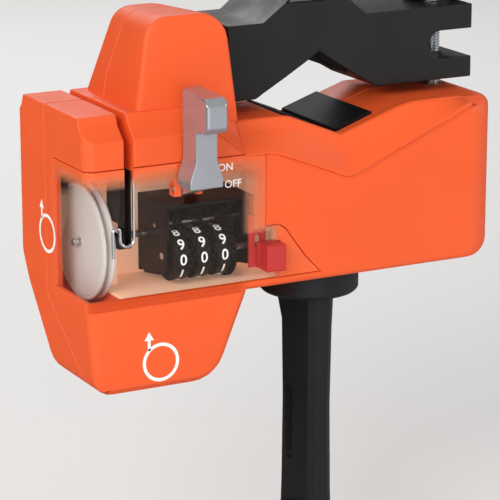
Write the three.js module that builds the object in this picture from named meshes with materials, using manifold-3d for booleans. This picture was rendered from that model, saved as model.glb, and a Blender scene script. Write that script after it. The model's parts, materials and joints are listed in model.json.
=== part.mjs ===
// A fishing line spooler that clamps on a rod: millimetres, +Z up, X along its front face, Y to the back.
// The origin is the axis of the clamped rod, over the lowest line of the vee that the rod lies in.
import * as THREE from 'three';
import { mergeVertices } from 'three/addons/utils/BufferGeometryUtils.js';
import Module from 'manifold-3d';

const wasm = await Module();
wasm.setup();

// Driving sizes of the housing
const housingLeft = -119.3;
const housingRight = 75;
const housingFront = -33;
const housingBack = 36;
const housingFloor = -74.3;
const shoulderTop = 4.1;
const deckTop = -4.7;
const seamBack = 6.85;
const wall = 2.1;
const roofShare = 1.6;
const seatGap = 0.3;
const cornerRadius = 14;
const sideRadius = 4.5;
const floorRadius = 2.8;
const endTopRound = 4.5;
const endFloorRound = 7;
const overrun = 10;

// The vee in the deck that the rod lies in
const veeDrop = 10.8;
const veeLeftRun = 26.2;
const veeRightRun = 32.4;

// The stepped rim round the top of the housing
const rimSetBack = 7.5;
const rimDrop = 4.2;
const rimLean = 1.9;
const rimVeeDrop = 6.3;
const rimRightDrop = 0.8;
const shelfDrop = 5.2;
const creaseDrop = 11.9;
const creaseVeeDrop = 14.7;
const creaseRightDrop = 1.4;
const creaseKnee = -35;
const veeFlat = 2.4;
const grooveDepth = 0.8;
const grooveWidth = 0.8;
const grooveRight = 59.3;
const stepStart = -63;
const stepEnd = -49;

// The tower over the clamp guide
const towerLeft = -92.7;
const towerRight = -46.6;
const towerFront = -24.8;
const towerBack = 27.5;
const towerTop = 41.4;
const towerFall = 3.4;
const towerRoot = -20;
const towerLeftRound = 9.5;
const towerRightRound = 13;
const towerFrontEdge = 1.6;
const towerBackEdge = 5;
const towerLeanShares = { leftFront: 0.13, leftBack: 0.41, right: 0.135 };

// The lower pod
const podFloor = -110.4;
const podProud = 0.8;
const podEdge = 2.8;
const podTop = -72;
const podStepDrop = 3.6;
const podSlopeTop = -57.3;
const podBackFloor = 5.2;
const podCorners = [[-119.3, -74.5], [-116.2, -110.4], [-61.9, -110.4], [-47.2, -74.3]];
const podLeftRound = 9;
const podRightRound = 16;

// The measuring wheel and its bay
const wheelY = -3;
const wheelZ = -52.5;
const wheelRadius = 24.3;
const wheelLeft = -109.2;
const wheelWidth = 5.6;
const shaftRadius = 1.5;
const runGap = 0.35;

// The line gap between the left block and the tower
const gapLeft = -102.3;
const gapWidth = 4.2;
const gapFloor = -50;

// The counter: digit wheels, transfer pinions and drive gears
const digitY = -18;
const digitZ = -59;
const digitRadius = 10.5;
const digitPitch = 9.5;
const firstDigitX = -74.2;
const drumWidth = 6;
const driveModule = 0.5;
const inputModule = 0.55;
const pinionTeeth = 8;
const firstGearTeeth = 32;
const inputGearTeeth = 40;
const transferTeeth = 20;
const gearWidth = 2.2;

// The clamp arm over the rod
const armFront = -12;
const armBack = 29;
const armLeft = -44.8;
const armRight = 73;
const armFloor = 0.6;
const armTop = 32.3;
const clampX = 65;
const clampY = 8;
const screwRadius = 3.7;
const knobRadius = 13.8;
const knobHeight = 21;

// The swivel and the spool arm under the housing
const collarRadius = 21.5;
const collarFloor = -87.6;
const stemX = -1.6;
const stemWidth = 11.8;
const stemFrontReach = 16;
const stemBackReach = 11.3;
const spindleZ = -206;
const spindleRadius = 4;
const spindleTip = -98;
const hubRadius = 13.5;

const roundSteps = 40;
const smallSteps = 16;
const wheelSteps = 48;
const arcSteps = 5;
const fineBevel = 1.2;

// Colours
const orange = { color: 0xff6428, roughness: 0.42, metalness: 0 };
const clearOrange = { color: 0xffb48c, roughness: 0.2, metalness: 0, transparent: true, opacity: 0.35 };
const black = { color: 0x2d2e2f, roughness: 0.5, metalness: 0 };
const rubber = { color: 0x191a1a, roughness: 0.85, metalness: 0 };
const steel = { color: 0xc9ccd0, roughness: 0.25, metalness: 1 };
const chrome = { color: 0xd9dce2, roughness: 0.12, metalness: 1 };
const brass = { color: 0xb9924a, roughness: 0.35, metalness: 1 };
const greyPlastic = { color: 0xc4beb8, roughness: 0.45, metalness: 0 };
const whitePlastic = { color: 0xe9e6df, roughness: 0.5, metalness: 0 };
const red = { color: 0xc8463c, roughness: 0.4, metalness: 0 };

const group = new THREE.Group();

// Solids from geometries, and meshes from solids

function solidOf(geometry) {
  const bare = new THREE.BufferGeometry().setAttribute('position', geometry.getAttribute('position'));
  bare.setIndex(geometry.index);
  const merged = mergeVertices(bare, 1e-4);
  return new wasm.Manifold(new wasm.Mesh({
    numProp: 3,
    vertProperties: new Float32Array(merged.attributes.position.array),
    triVerts: new Uint32Array(merged.index.array),
  }));
}

function geometryOf(solid) {
  const mesh = solid.getMesh();
  const geometry = new THREE.BufferGeometry();
  const positions = new Float32Array(mesh.vertProperties);
  geometry.setAttribute('position', new THREE.BufferAttribute(positions, mesh.numProp));
  geometry.setIndex(new THREE.BufferAttribute(new Uint32Array(mesh.triVerts), 1));
  geometry.computeVertexNormals();
  return geometry;
}

function addPiece(name, solid, look) {
  const piece = new THREE.Mesh(geometryOf(solid), new THREE.MeshStandardMaterial(look));
  piece.name = name;
  group.add(piece);
  return piece;
}

function shapeOf(points) {
  return new THREE.Shape(points.map(([u, v]) => new THREE.Vector2(u, v)));
}

function extruded(points, depth, bevel, holes = []) {
  const shape = shapeOf(points);
  shape.holes = holes.map((hole) => new THREE.Path(hole.map(([u, v]) => new THREE.Vector2(u, v))));
  const edge = {
    bevelEnabled: bevel > 0, bevelThickness: bevel, bevelSize: bevel, bevelOffset: -bevel,
    bevelSegments: bevel > fineBevel ? 2 : 1,
  };
  const geometry = new THREE.ExtrudeGeometry(shape, { depth: depth - 2 * bevel, steps: 1, ...edge });
  return geometry.translate(0, 0, bevel);
}

// An outline in X and Z, pushed along Y
function prismY(points, from, to, bevel = 0) {
  return solidOf(extruded(points, to - from, bevel).rotateX(Math.PI / 2).translate(0, to, 0));
}

// An outline in X and Y, pushed along Z
function prismZ(points, from, to, bevel = 0) {
  return solidOf(extruded(points, to - from, bevel).translate(0, 0, from));
}

// An outline in Y and Z, pushed along X
function prismX(points, from, to, bevel = 0, holes = []) {
  const turn = new THREE.Matrix4().makeBasis(
    new THREE.Vector3(0, 1, 0), new THREE.Vector3(0, 0, 1), new THREE.Vector3(1, 0, 0));
  return solidOf(extruded(points, to - from, bevel, holes).applyMatrix4(turn).translate(from, 0, 0));
}

function box(x0, x1, y0, y1, z0, z1) {
  return prismZ([[x0, y0], [x1, y0], [x1, y1], [x0, y1]], z0, z1);
}

function circle(u, v, radius, steps = roundSteps, phase = 0) {
  return Array.from({ length: steps }, (_, i) => {
    const angle = phase + (2 * Math.PI * i) / steps;
    return [u + radius * Math.cos(angle), v + radius * Math.sin(angle)];
  });
}

function rodX(y, z, radius, from, to, steps = smallSteps, bevel = 0) {
  return prismX(circle(y, z, radius, steps), from, to, bevel);
}

function rodY(x, z, radius, from, to, steps = smallSteps, bevel = 0) {
  return prismY(circle(x, z, radius, steps), from, to, bevel);
}

function rodZ(x, y, radius, from, to, steps = smallSteps, bevel = 0) {
  return prismZ(circle(x, y, radius, steps), from, to, bevel);
}

function ringZ(x, y, outer, inner, from, to, steps = roundSteps) {
  return rodZ(x, y, outer, from, to, steps).subtract(rodZ(x, y, inner, from - wall, to + wall, steps));
}

// A profile of radius and height, turned about Z, then laid along X where it is asked for
function turned(profile, steps = roundSteps) {
  const points = profile.map(([r, h]) => new THREE.Vector2(r, h));
  return new THREE.LatheGeometry(points, steps).rotateX(Math.PI / 2);
}

function turnedX(profile, x, y, z, steps = roundSteps) {
  return solidOf(turned(profile, steps).rotateY(Math.PI / 2).translate(x, y, z));
}

function turnedZ(profile, x, y, z, steps = roundSteps) {
  return solidOf(turned(profile, steps).translate(x, y, z));
}

// Closed loops with equal counts of points, joined by walls and closed by caps.
// flat gives the two axes in which a loop is seen.
function loft(loops, flat) {
  const count = loops[0].length;
  const positions = loops.flat().flatMap((p) => [p.x, p.y, p.z]);
  const faces = [];
  for (let k = 0; k + 1 < loops.length; k += 1) {
    for (let i = 0; i < count; i += 1) {
      const j = (i + 1) % count;
      const [a, b] = [k * count + i, k * count + j];
      faces.push([a, b, b + count], [a, b + count, a + count]);
    }
  }
  const cap = (loop, start, turn) => {
    const contour = loop.map((p) => new THREE.Vector2(p[flat[0]], p[flat[1]]));
    const anticlockwise = THREE.ShapeUtils.area(contour) > 0;
    for (const triangle of THREE.ShapeUtils.triangulateShape(contour, [])) {
      const face = triangle.map((corner) => start + corner);
      faces.push(turn === anticlockwise ? face : face.reverse());
    }
  };
  const windsUp = THREE.ShapeUtils.area(loops[0].map((p) => new THREE.Vector2(p[flat[0]], p[flat[1]]))) > 0;
  cap(loops[0], 0, !windsUp);
  cap(loops[loops.length - 1], (loops.length - 1) * count, windsUp);
  const geometry = new THREE.BufferGeometry();
  geometry.setAttribute('position', new THREE.Float32BufferAttribute(positions, 3));
  geometry.setIndex(faces.flat());
  const solid = solidOf(geometry);
  if (solid.volume() > 0) return solid;
  geometry.setIndex(faces.flatMap(([a, b, c]) => [a, c, b]));
  return solidOf(geometry);
}

function mix(a, b, share) {
  return a + (b - a) * share;
}

// How far an edge of this radius draws in at a distance from the face
function roundInset(radius, distance) {
  if (distance >= radius) return 0;
  return radius - Math.sqrt(radius ** 2 - (radius - distance) ** 2);
}

// The housing's top line at a distance behind the front or back face, from left to right:
// the crease on the face, the ridge over it and the rim round the deck
function topLines(right) {
  const veeFloor = deckTop - veeDrop;
  const creaseFloor = veeFloor - creaseVeeDrop;
  const creaseLeft = deckTop - creaseDrop;
  const creaseRight = deckTop - creaseRightDrop;
  const stepDrop = rimDrop + shelfDrop;
  const creaseRun = housingRight - cornerRadius - veeFlat;
  const rim = [
    [housingLeft, shoulderTop], [stepStart, shoulderTop], [stepEnd, deckTop], [-veeLeftRun, deckTop],
    [-veeLeftRun / 2, deckTop - veeDrop / 2], [0, veeFloor],
    [veeFlat, veeFloor + (veeDrop * veeFlat) / veeRightRun], [veeRightRun, deckTop], [right, deckTop]];
  const ridge = rim.map(([x, z], i) => {
    if (i < 5) return [x, z - rimDrop];
    if (i === 5) return [x, z - rimVeeDrop];
    return i === 6 ? [x + veeFlat, z - 2 * rimDrop] : [x, z - rimRightDrop];
  });
  const crease = [
    [housingLeft, shoulderTop - stepDrop], [stepStart, shoulderTop - stepDrop], [stepEnd, creaseLeft],
    [creaseKnee, creaseLeft], [creaseKnee / 2, mix(creaseLeft, creaseFloor, 1 / 2)],
    [-veeFlat / 2, creaseFloor], [veeFlat, creaseFloor],
    [veeRightRun, mix(creaseFloor, creaseRight, (veeRightRun - veeFlat) / creaseRun)], [right, creaseRight]];
  return { rim, ridge, crease };
}

function topLine(distance, right) {
  const { rim, ridge, crease } = topLines(right);
  const ridgeAt = rimSetBack - rimLean;
  if (distance >= rimSetBack) return rim;
  const [near, far, share] = distance > ridgeAt
    ? [ridge, rim, (distance - ridgeAt) / rimLean]
    : [crease, ridge, distance / ridgeAt];
  return near.map(([x, z], i) => [mix(x, far[i][0], share), mix(z, far[i][1], share)]);
}

// A fine groove in the front face, under the crease
function creaseGroove() {
  const { crease } = topLines(grooveRight);
  const line = [[coverStep + seatGap, deckTop - creaseDrop], ...crease.slice(3)];
  const outline = [...line.map(([x, z]) => [x, z - grooveWidth]), ...line.reverse()];
  return prismY(outline, housingFront - overrun, housingFront + grooveDepth);
}

// The housing's outline at a distance behind its front or back face, or the hollow's inside it
function housingLoop(y, distance, thick) {
  const inset = (radius) => thick + roundInset(radius - thick, distance - thick);
  const right = housingRight - inset(cornerRadius);
  const left = housingLeft + inset(sideRadius);
  const floor = housingFloor + inset(floorRadius);
  const top = topLine(distance, right).map(([x, z]) => [x, z - roofShare * thick]);
  top[0][0] = left;
  const radii = [0, endFloorRound, endTopRound];
  return roundedOutline([[left, floor], [right, floor], ...top.reverse()], radii, arcSteps)
    .map(([x, z]) => new THREE.Vector3(x, y, z));
}

function housingHull(thick) {
  const shares = thick > 0 ? [0, 0.14, 0.5, 1] : [0, 0.015, 0.06, 0.14, 0.26, 0.62, 0.8, 1];
  const rounding = shares.map((share) => mix(thick, cornerRadius, share));
  const depths = [...rounding, rimSetBack - rimLean, rimSetBack].sort((a, b) => a - b);
  const front = depths.map((depth) => housingLoop(housingFront + depth, depth, thick));
  const back = depths.map((depth) => housingLoop(housingBack - depth, depth, thick)).reverse();
  return loft([...front, ...back], ['x', 'z']);
}

// An arc in X and Z about a centre, in even steps
function arcPoints(x, z, radius, from, to, steps) {
  return Array.from({ length: steps + 1 }, (_, i) => {
    const angle = mix(from, to, i / steps);
    return [x + radius * Math.cos(angle), z + radius * Math.sin(angle)];
  });
}

// The tower's outline at a depth: its sides lean in, more so to the back, and its top falls to the back
function towerLoop(y, inset) {
  const share = (y - towerFront) / (towerBack - towerFront);
  const leftLean = mix(towerLeanShares.leftFront, towerLeanShares.leftBack, share);
  const rightLean = towerLeanShares.right;
  const top = towerTop - towerFall * share - inset;
  const leftAt = (z) => towerLeft + inset + leftLean * Math.max(0, z - shoulderTop);
  const rightAt = (z) => towerRight - inset - rightLean * Math.max(0, z - deckTop);
  const corner = (radius) => Math.max(radius - inset, wall);
  const [leftRound, rightRound] = [corner(towerLeftRound), corner(towerRightRound)];
  const leftX = leftAt(top - leftRound) + leftRound * Math.hypot(1, leftLean);
  const rightX = rightAt(top - rightRound) - rightRound * Math.hypot(1, rightLean);
  const outline = [
    [leftAt(towerRoot), towerRoot], [rightAt(towerRoot), towerRoot], [rightAt(deckTop), deckTop],
    ...arcPoints(rightX, top - rightRound, rightRound, Math.atan(rightLean), Math.PI / 2, arcSteps),
    ...arcPoints(leftX, top - leftRound, leftRound, Math.PI / 2, Math.PI - Math.atan(leftLean), arcSteps),
    [leftAt(shoulderTop), shoulderTop]];
  return outline.map(([x, z]) => new THREE.Vector3(x, y, z));
}

// The tower's solid, or the hollow a wall's thickness inside it
function tower(thick) {
  const edgeShares = [0, 0.3, 1];
  const edgeLoops = (face, inward, radius) => edgeShares.map((share) => [
    face + inward * share * radius, roundInset(radius, share * radius)]);
  const backLoops = edgeLoops(towerBack, -1, towerBackEdge).reverse();
  const loops = [...edgeLoops(towerFront, 1, towerFrontEdge), ...backLoops];
  const middle = (towerFront + towerBack) / 2;
  const squeeze = 1 - (2 * thick) / (towerBack - towerFront);
  return loft(loops.map(([y, inset]) => towerLoop(mix(middle, y, squeeze), inset + thick)), ['x', 'z']);
}

// An outline drawn in by a thickness, each corner kept where its two sides meet
function drawnIn(points, amount) {
  const turn = THREE.ShapeUtils.isClockWise(points.map(([u, v]) => new THREE.Vector2(u, v))) ? -1 : 1;
  return points.map(([u, v], i) => {
    const [pu, pv] = points[(i + points.length - 1) % points.length];
    const [nu, nv] = points[(i + 1) % points.length];
    const before = new THREE.Vector2(pv - v, u - pu).normalize().multiplyScalar(turn);
    const after = new THREE.Vector2(v - nv, nu - u).normalize().multiplyScalar(turn);
    const share = amount / (1 + before.dot(after));
    return [u + share * (before.x + after.x), v + share * (before.y + after.y)];
  });
}

// The pod's back slope, as the depth at a height
function slopeBack(z) {
  const low = podFloor + floorRadius;
  return mix(housingBack, podBackFloor + floorRadius, (podSlopeTop - z) / (podSlopeTop - low));
}

// An outline with a radius at each corner that has one
function roundedOutline(points, radii, steps) {
  const at = (i) => new THREE.Vector2(...points[(i + points.length) % points.length]);
  return points.flatMap((point, i) => {
    if (!radii[i]) return [point];
    const [before, after] = [at(i - 1).sub(at(i)).normalize(), at(i + 1).sub(at(i)).normalize()];
    const half = Math.acos(before.dot(after)) / 2;
    const middle = before.clone().add(after).normalize().multiplyScalar(radii[i] / Math.sin(half)).add(at(i));
    const run = radii[i] / Math.tan(half);
    const from = before.multiplyScalar(run).add(at(i)).sub(middle).angle();
    const to = after.multiplyScalar(run).add(at(i)).sub(middle).angle();
    const sweep = ((to - from + 3 * Math.PI) % (2 * Math.PI)) - Math.PI;
    return arcPoints(middle.x, middle.y, radii[i], from, from + sweep, steps);
  });
}

// The pod's solid, or the hollow a wall's thickness inside it
function pod(thick) {
  const front = housingFront - podProud;
  const top = podTop + 2 * thick + podEdge;
  const face = roundedOutline([[podCorners[0][0], top], ...podCorners, [podCorners[3][0], top]],
    [0, 0, podLeftRound, podRightRound, 0, 0], arcSteps);
  const side = [
    [front + podProud + seatGap, top], [front + podProud + seatGap, podTop], [front, podTop - podStepDrop],
    [front, podFloor + floorRadius], [front + floorRadius, podFloor], [podBackFloor, podFloor],
    [podBackFloor + floorRadius, podFloor + floorRadius], [slopeBack(top), top],
  ];
  return prismY(drawnIn(face, thick), front, housingBack, thick > 0 ? 0 : podEdge)
    .intersect(prismX(drawnIn(side, thick), housingLeft - overrun, housingRight));
}

// What the back slope takes off the housing's lower back edge
function slopeCut(thick) {
  const far = housingBack + overrun;
  const low = housingFloor - overrun;
  const outline = [[slopeBack(low), low], [far, low], [far, podSlopeTop], [housingBack, podSlopeTop]];
  const cut = prismX(outline, housingLeft - overrun, housingRight + overrun);
  return cut.translate(0, 0, Math.SQRT2 * thick);
}

// The two shells part at a plane that bends forward under the body, along the pod's back slope
function seamZone(front) {
  const seam = front ? seamBack : seamBack + seatGap;
  const bend = housingFloor - wall;
  const run = bend - podFloor + overrun;
  const far = front ? housingFront - overrun : housingBack + overrun;
  const top = towerTop + overrun;
  const low = podFloor - overrun;
  return prismX([[far, top], [far, low], [seam - run, low], [seam, bend], [seam, top]].reverse(),
    housingLeft - overrun, housingRight + overrun);
}

// The clear cover over the front left, with its window outline in X and Z
const coverTop = deckTop - creaseDrop - seatGap;
const coverFloor = -70.2;
const coverSideBack = -0.6;
const coverStep = -38.7;
const coverStepZ = -48;
const coverEdge = [[-32.6, -48.1], [-29.4, -50.2], [-26, -55], [-20.5, -62.6], [-13.2, -70.2]];

function coverOutline(clear) {
  return [
    [housingLeft - overrun, coverFloor - clear], [coverEdge[4][0] + 2 * clear, coverFloor - clear],
    ...coverEdge.slice(0, 4).reverse().map(([x, z]) => [x + clear, z + clear]),
    [coverStep + clear, coverStepZ + clear], [coverStep + clear, coverTop + clear],
    [housingLeft - overrun, coverTop + clear]];
}

function coverZone(clear) {
  const front = prismY(coverOutline(clear), housingFront - overrun, housingFront + wall + clear);
  const side = box(housingLeft - overrun, housingLeft + wall + clear,
    housingFront - overrun, coverSideBack + clear, coverFloor - clear, coverTop + clear);
  return front.add(side);
}

// The gap that the line runs through, with a branch to the wheel's groove
const branchLeft = -107.6;
const branchTop = -40.6;
const branchFloor = -44.4;

function lineGap() {
  const right = gapLeft + gapWidth;
  const middle = gapLeft + gapWidth / 2;
  const slotFloor = gapFloor + gapWidth / 2;
  const back = housingBack + overrun;
  const front = housingFront - overrun;
  const slot = box(gapLeft, right, front, back, slotFloor, shoulderTop + overrun);
  const round = rodY(middle, slotFloor, gapWidth / 2, front, back, smallSteps);
  const branch = box(branchLeft, gapLeft + runGap, front, wheelY, branchFloor, branchTop);
  return slot.add(round).add(branch);
}

// The hollow that holds the counter and the measuring wheel
const bayRight = -31;
const bayFloor = -71.2;
const bayTop = -18.6;
const wellFloor = wheelZ - wheelRadius - wall / 2;

function bay(grow) {
  const left = housingLeft + wall - grow;
  const front = housingFront + wall - grow;
  const room = box(left, bayRight + grow, front, seamBack - wall + grow, bayFloor - grow, bayTop + grow);
  const well = box(left, gapLeft + runGap + grow, front, wheelY + wheelRadius + wall + grow, wellFloor - grow,
    wheelZ + wheelRadius + wall + grow);
  return room.add(well);
}

const hull = housingHull(0).subtract(slopeCut(0)).add(tower(0)).add(pod(0));

// The lever's slot through the cover, and its pivot lugs
const leverX = -72.5;
const leverWidth = 9.7;
const leverPivotY = -28.4;
const leverPivotZ = -28.5;
const leverNeckWidth = 6;

// The clamp guide in the tower's right side, and the screw's hole in the deck
const tongueHeight = 10;
const tongueDepth = 10;
const tongueReach = 12;
const clampTravel = 18;
const clampClose = 4;

function clampGuide(grow) {
  const half = tongueDepth / 2 + seatGap + grow;
  return box(armLeft - tongueReach - seatGap - grow, towerRight + overrun, clampY - half, clampY + half,
    armFloor - clampClose - seatGap - grow, armFloor + tongueHeight + clampTravel + 2 * seatGap + grow);
}

const insertRadius = 5.6;
const insertDepth = 20;
const screwDepth = 30;

function screwHole() {
  const top = deckTop + overrun;
  const seat = rodZ(clampX, clampY, insertRadius + seatGap, deckTop - insertDepth - seatGap, top);
  return seat.add(rodZ(clampX, clampY, screwRadius + seatGap, deckTop - screwDepth - clampClose, top));
}

// Rubber pads on the two slopes of the vee
const padThick = 2.4;
const padSink = 1.3;
const padFront = -19;
const padBack = 28;
const padInnerShare = 0.06;
const padOuterShare = 0.6;

function padOutline(side, sink, grow, thick) {
  const run = side < 0 ? veeLeftRun : veeRightRun;
  const length = Math.hypot(run, veeDrop);
  const along = [(side * run) / length, veeDrop / length];
  const up = [-side * along[1], Math.abs(along[0])];
  const at = (share, lift) => {
    const s = share * length + (share > padInnerShare ? grow : -grow);
    return [s * along[0] + lift * up[0], deckTop - veeDrop + s * along[1] + lift * up[1]];
  };
  const points = [at(padInnerShare, -sink), at(padOuterShare, -sink), at(padOuterShare, thick - sink),
    at(padInnerShare, thick - sink)];
  return side < 0 ? points.reverse() : points;
}

function rodPad(side) {
  return prismY(padOutline(side, padSink, 0, padThick), padFront, padBack, padThick / 8);
}

function padSeats() {
  const seat = (side) => prismY(padOutline(side, padSink + seatGap, seatGap, padThick + overrun / 2),
    padFront - seatGap, padBack + seatGap);
  return seat(-1).add(seat(1));
}

// The swivel's bolt runs up through a thick pad on the floor
const boltRadius = 4;
const boltHeadRadius = 8;
const swivelFloorThick = 6;

function swivelHole() {
  return rodZ(0, 0, boltRadius + seatGap, housingFloor - overrun, housingFloor + 2 * swivelFloorThick);
}

// Screws that hold the back shell to the front one: each one's place, and the level of its head
const towerScrewShare = 0.28;
const towerScrewDrop = 17;
const towerScrew = [mix(towerLeft, towerRight, towerScrewShare), towerTop - towerScrewDrop, 14];
const screwSpots = [
  [-112, -10, 18], towerScrew, [-86, -90, 6], [-22, -60, 18], [66, -52, 18], [24, -38, 18]];
const screwShank = 1.5;
const screwHead = 3.1;
const screwHeadThick = 2.6;
const screwLength = 22;

function shellScrew([x, z, back]) {
  const shank = rodY(x, z, screwShank, back - screwLength, back - screwHeadThick / 2, smallSteps / 2);
  return rodY(x, z, screwHead, back - screwHeadThick, back, smallSteps).add(shank);
}

function shellScrewSeats() {
  return wasm.Manifold.union(screwSpots.flatMap(([x, z, back]) => [
    rodY(x, z, screwHead + seatGap, back - screwHeadThick - seatGap, housingBack + overrun, smallSteps),
    rodY(x, z, screwShank + seatGap, back - screwLength - seatGap, back, smallSteps / 2)]));
}

// Ribs that stand in the bay: the wheel shaft's bearing, the reset spring's seat and the lever's lugs
const bearingLeft = -97.4;
const bearingThick = 3;
const bearingFront = -8.5;
const bearingTop = -46.5;
const bushRadius = 3;
const springX = -35.6;
const springZ = -61.2;
const springSeatFront = -14;
const springRadius = 3;
const lugThick = 3;
const lugFront = -30.4;
const lugBack = -25;
const lugFloor = -31.5;
const pinRadius = 1.2;

function bayRibs() {
  const bearing = box(
    bearingLeft, bearingLeft + bearingThick, bearingFront, seamBack, bayFloor - wall, bearingTop,
  ).subtract(rodX(wheelY, wheelZ, bushRadius + seatGap, bearingLeft - overrun, bearingLeft + overrun));
  const springSeat = box(springX - springRadius, bayRight + wall, springSeatFront, seamBack,
    springZ - springRadius, springZ + springRadius);
  const lugAt = (x) => box(x, x + lugThick, lugFront, lugBack, lugFloor, bayTop + wall)
    .subtract(rodX(leverPivotY, leverPivotZ, pinRadius + seatGap, x - wall, x + lugThick + wall));
  const lugReach = leverNeckWidth / 2 + seatGap;
  return bearing.add(springSeat).add(lugAt(leverX + lugReach)).add(lugAt(leverX - lugReach - lugThick));
}

// The wire that the line runs against
const wireRadius = 0.6;
const wireY = -29.3;
const wireRight = -96.8;
const wireBendLeft = -102.9;
const wireLeg = -106.1;
const wireTop = -14;
const wireBendZ = -46.6;
const wireArchZ = -43.4;
const wireEnd = -54;

function wireGuide() {
  const bigRadius = (wireRight - wireBendLeft) / 2;
  const smallRadius = (wireBendLeft - wireLeg) / 2;
  const points = [
    [wireRight, wireTop],
    ...arcPoints(wireRight - bigRadius, wireBendZ, bigRadius, 0, -Math.PI, smallSteps / 2),
    ...arcPoints(wireBendLeft - smallRadius, wireArchZ, smallRadius, 0, Math.PI, smallSteps / 2),
    [wireLeg, wireEnd]].map(([x, z]) => new THREE.Vector3(x, wireY, z));
  const path = new THREE.CurvePath();
  points.slice(1).forEach((point, i) => path.add(new THREE.LineCurve3(points[i], point)));
  const section = shapeOf(circle(0, 0, wireRadius, 6));
  const extrusion = { extrudePath: path, steps: wheelSteps, bevelEnabled: false };
  return solidOf(new THREE.ExtrudeGeometry(section, extrusion));
}

// The dark channel behind the line gap
const channelThick = 0.9;
const channelReach = 10.3;
const channelBack = wheelY - wheelRadius + channelReach;

function lineChannel() {
  const front = housingFront + wall + seatGap;
  const [left, right] = [gapLeft + runGap / 2, gapLeft + gapWidth - runGap / 2];
  const outer = box(left - channelThick, right + channelThick, front, channelBack,
    gapFloor - channelThick, bayTop - seatGap);
  const inner = box(left, right, front - overrun, channelBack + overrun, gapFloor, bayTop + overrun);
  const branch = box(branchLeft, gapLeft + runGap, front - overrun, channelBack - 2 * channelThick,
    branchFloor - runGap, branchTop + runGap);
  const wirePass = box(wireLeg, wireRight + 2 * wireRadius, front - overrun, wireY + 2 * wireRadius,
    wireBendZ - overrun, bayTop + overrun);
  return outer.subtract(inner).subtract(branch).subtract(wirePass);
}

// The hollow of both shells, less what stands in it round the bay, the line gap, the guide and each screw
function hollow() {
  const inside = housingHull(wall).subtract(slopeCut(wall)).add(tower(wall)).add(pod(wall));
  const gapWalls = box(gapLeft - wall, gapLeft + gapWidth + wall, housingFront, housingBack,
    gapFloor - wall, shoulderTop);
  const screwFloor = deckTop - screwDepth - clampClose - wall;
  const screwWalls = rodZ(clampX, clampY, insertRadius + seatGap + wall, screwFloor, deckTop);
  const swivelPad = rodZ(0, 0, boltHeadRadius + 2 * wall, housingFloor, housingFloor + swivelFloorThick);
  const posts = screwSpots.flatMap(([x, z, back]) => {
    const headFloor = back - screwHeadThick - seatGap - wall;
    return [
      rodY(x, z, screwShank + seatGap + wall, housingFront - podProud, back, smallSteps / 2),
      rodY(x, z, screwHead + seatGap + wall, headFloor, housingBack, smallSteps / 2)];
  });
  return inside.subtract(wasm.Manifold.union([
    bay(wall), gapWalls, clampGuide(wall), screwWalls, swivelPad, ...posts]));
}

// The shells and their cover
const openings = () => wasm.Manifold.union([
  hollow(), lineGap(), clampGuide(0), screwHole(), padSeats(), swivelHole(), shellScrewSeats()]);

function frontShell() {
  const wireTip = wireTop + seatGap;
  const wireHole = rodZ(wireRight, wireY, wireRadius + seatGap, bayTop - wall, wireTip, smallSteps / 2);
  return hull.intersect(seamZone(true)).subtract(wasm.Manifold.union([
    openings(), coverZone(seatGap), bay(0).subtract(bayRibs()), creaseGroove(), wireHole]));
}

function rearShell() {
  return hull.intersect(seamZone(false)).subtract(openings()).subtract(bay(0));
}

// The reset button and its yoke
const buttonLeft = -40.8;
const buttonRight = -32.1;
const buttonTop = -54.9;
const buttonFloor = -66.2;
const buttonFront = -38.4;
const buttonBack = -28.4;
const yokeLeft = -43.6;
const yokeRight = -36;
const yokeTop = -44;
const yokeBarTop = -50.4;
const yokeBarFloor = -52.4;
const yokeLimb = 2.4;
const yokeThick = 2;

function buttonHole() {
  return box(buttonLeft - runGap, buttonRight + runGap, housingFront - overrun, housingFront + overrun / 2,
    buttonFloor - runGap, buttonTop + runGap);
}

function leverSlot() {
  const half = leverNeckWidth / 2 + runGap;
  return box(leverX - half, leverX + half, housingFront - overrun, housingFront + overrun / 2,
    leverPivotZ - leverNeckWidth - runGap, leverPivotZ + leverNeckWidth / 2 + runGap);
}

function counterCover() {
  const shell = housingHull(0).intersect(coverZone(0));
  return shell.subtract(lineGap()).subtract(buttonHole()).subtract(leverSlot());
}

// The arm that presses on the rod from above
const archTop = 40.2;
const archLeft = -28.5;
const archRight = 20.5;
const archRun = 10;
const noseX = -3.5;
const noseZ = 18;
const noseLeft = -32;
const noseRight = 26;
const forkLeft = 51.6;
const forkFloor = 9.6;
const forkHeight = 12.2;
const armBevel = 1.8;
const armRidge = 2.6;

function clampArm() {
  const forkHalf = forkHeight / 2;
  const forkRound = arcPoints(forkLeft + forkHalf, forkFloor + forkHalf, forkHalf,
    -Math.PI / 2, -1.5 * Math.PI, smallSteps / 2);
  const outline = [
    [armLeft, armFloor], [noseLeft, armFloor], [noseX, noseZ], [noseRight, armFloor], [armRight, armFloor],
    [armRight, forkFloor], ...forkRound, [armRight, forkFloor + forkHeight], [armRight, armTop],
    [archRight, armTop], [archRight - archRun, archTop], [archLeft + archRun, archTop], [archLeft, armTop],
    [armLeft, armTop]];
  const profile = prismY(outline, armFront - armRidge, armBack, armBevel);
  const plan = prismZ([
    [armLeft, armFront], [archLeft, armFront], [noseX, armFront - armRidge], [archRight - armBevel, armFront],
    [armRight, armFront], [armRight, armBack], [armLeft, armBack]], armFloor - wall, archTop + wall);
  const tongueHalf = tongueDepth / 2;
  const tongue = box(armLeft - tongueReach, armLeft + wall, clampY - tongueHalf, clampY + tongueHalf,
    armFloor, armFloor + tongueHeight);
  return profile.intersect(plan).add(tongue)
    .subtract(rodZ(clampX, clampY, screwRadius + runGap, armFloor - wall, armTop + wall))
    .subtract(armPadSeat(-1)).subtract(armPadSeat(1));
}

// Rubber pads under the arm's nose
const armPadFront = -8;
const armPadBack = 25;

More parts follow.
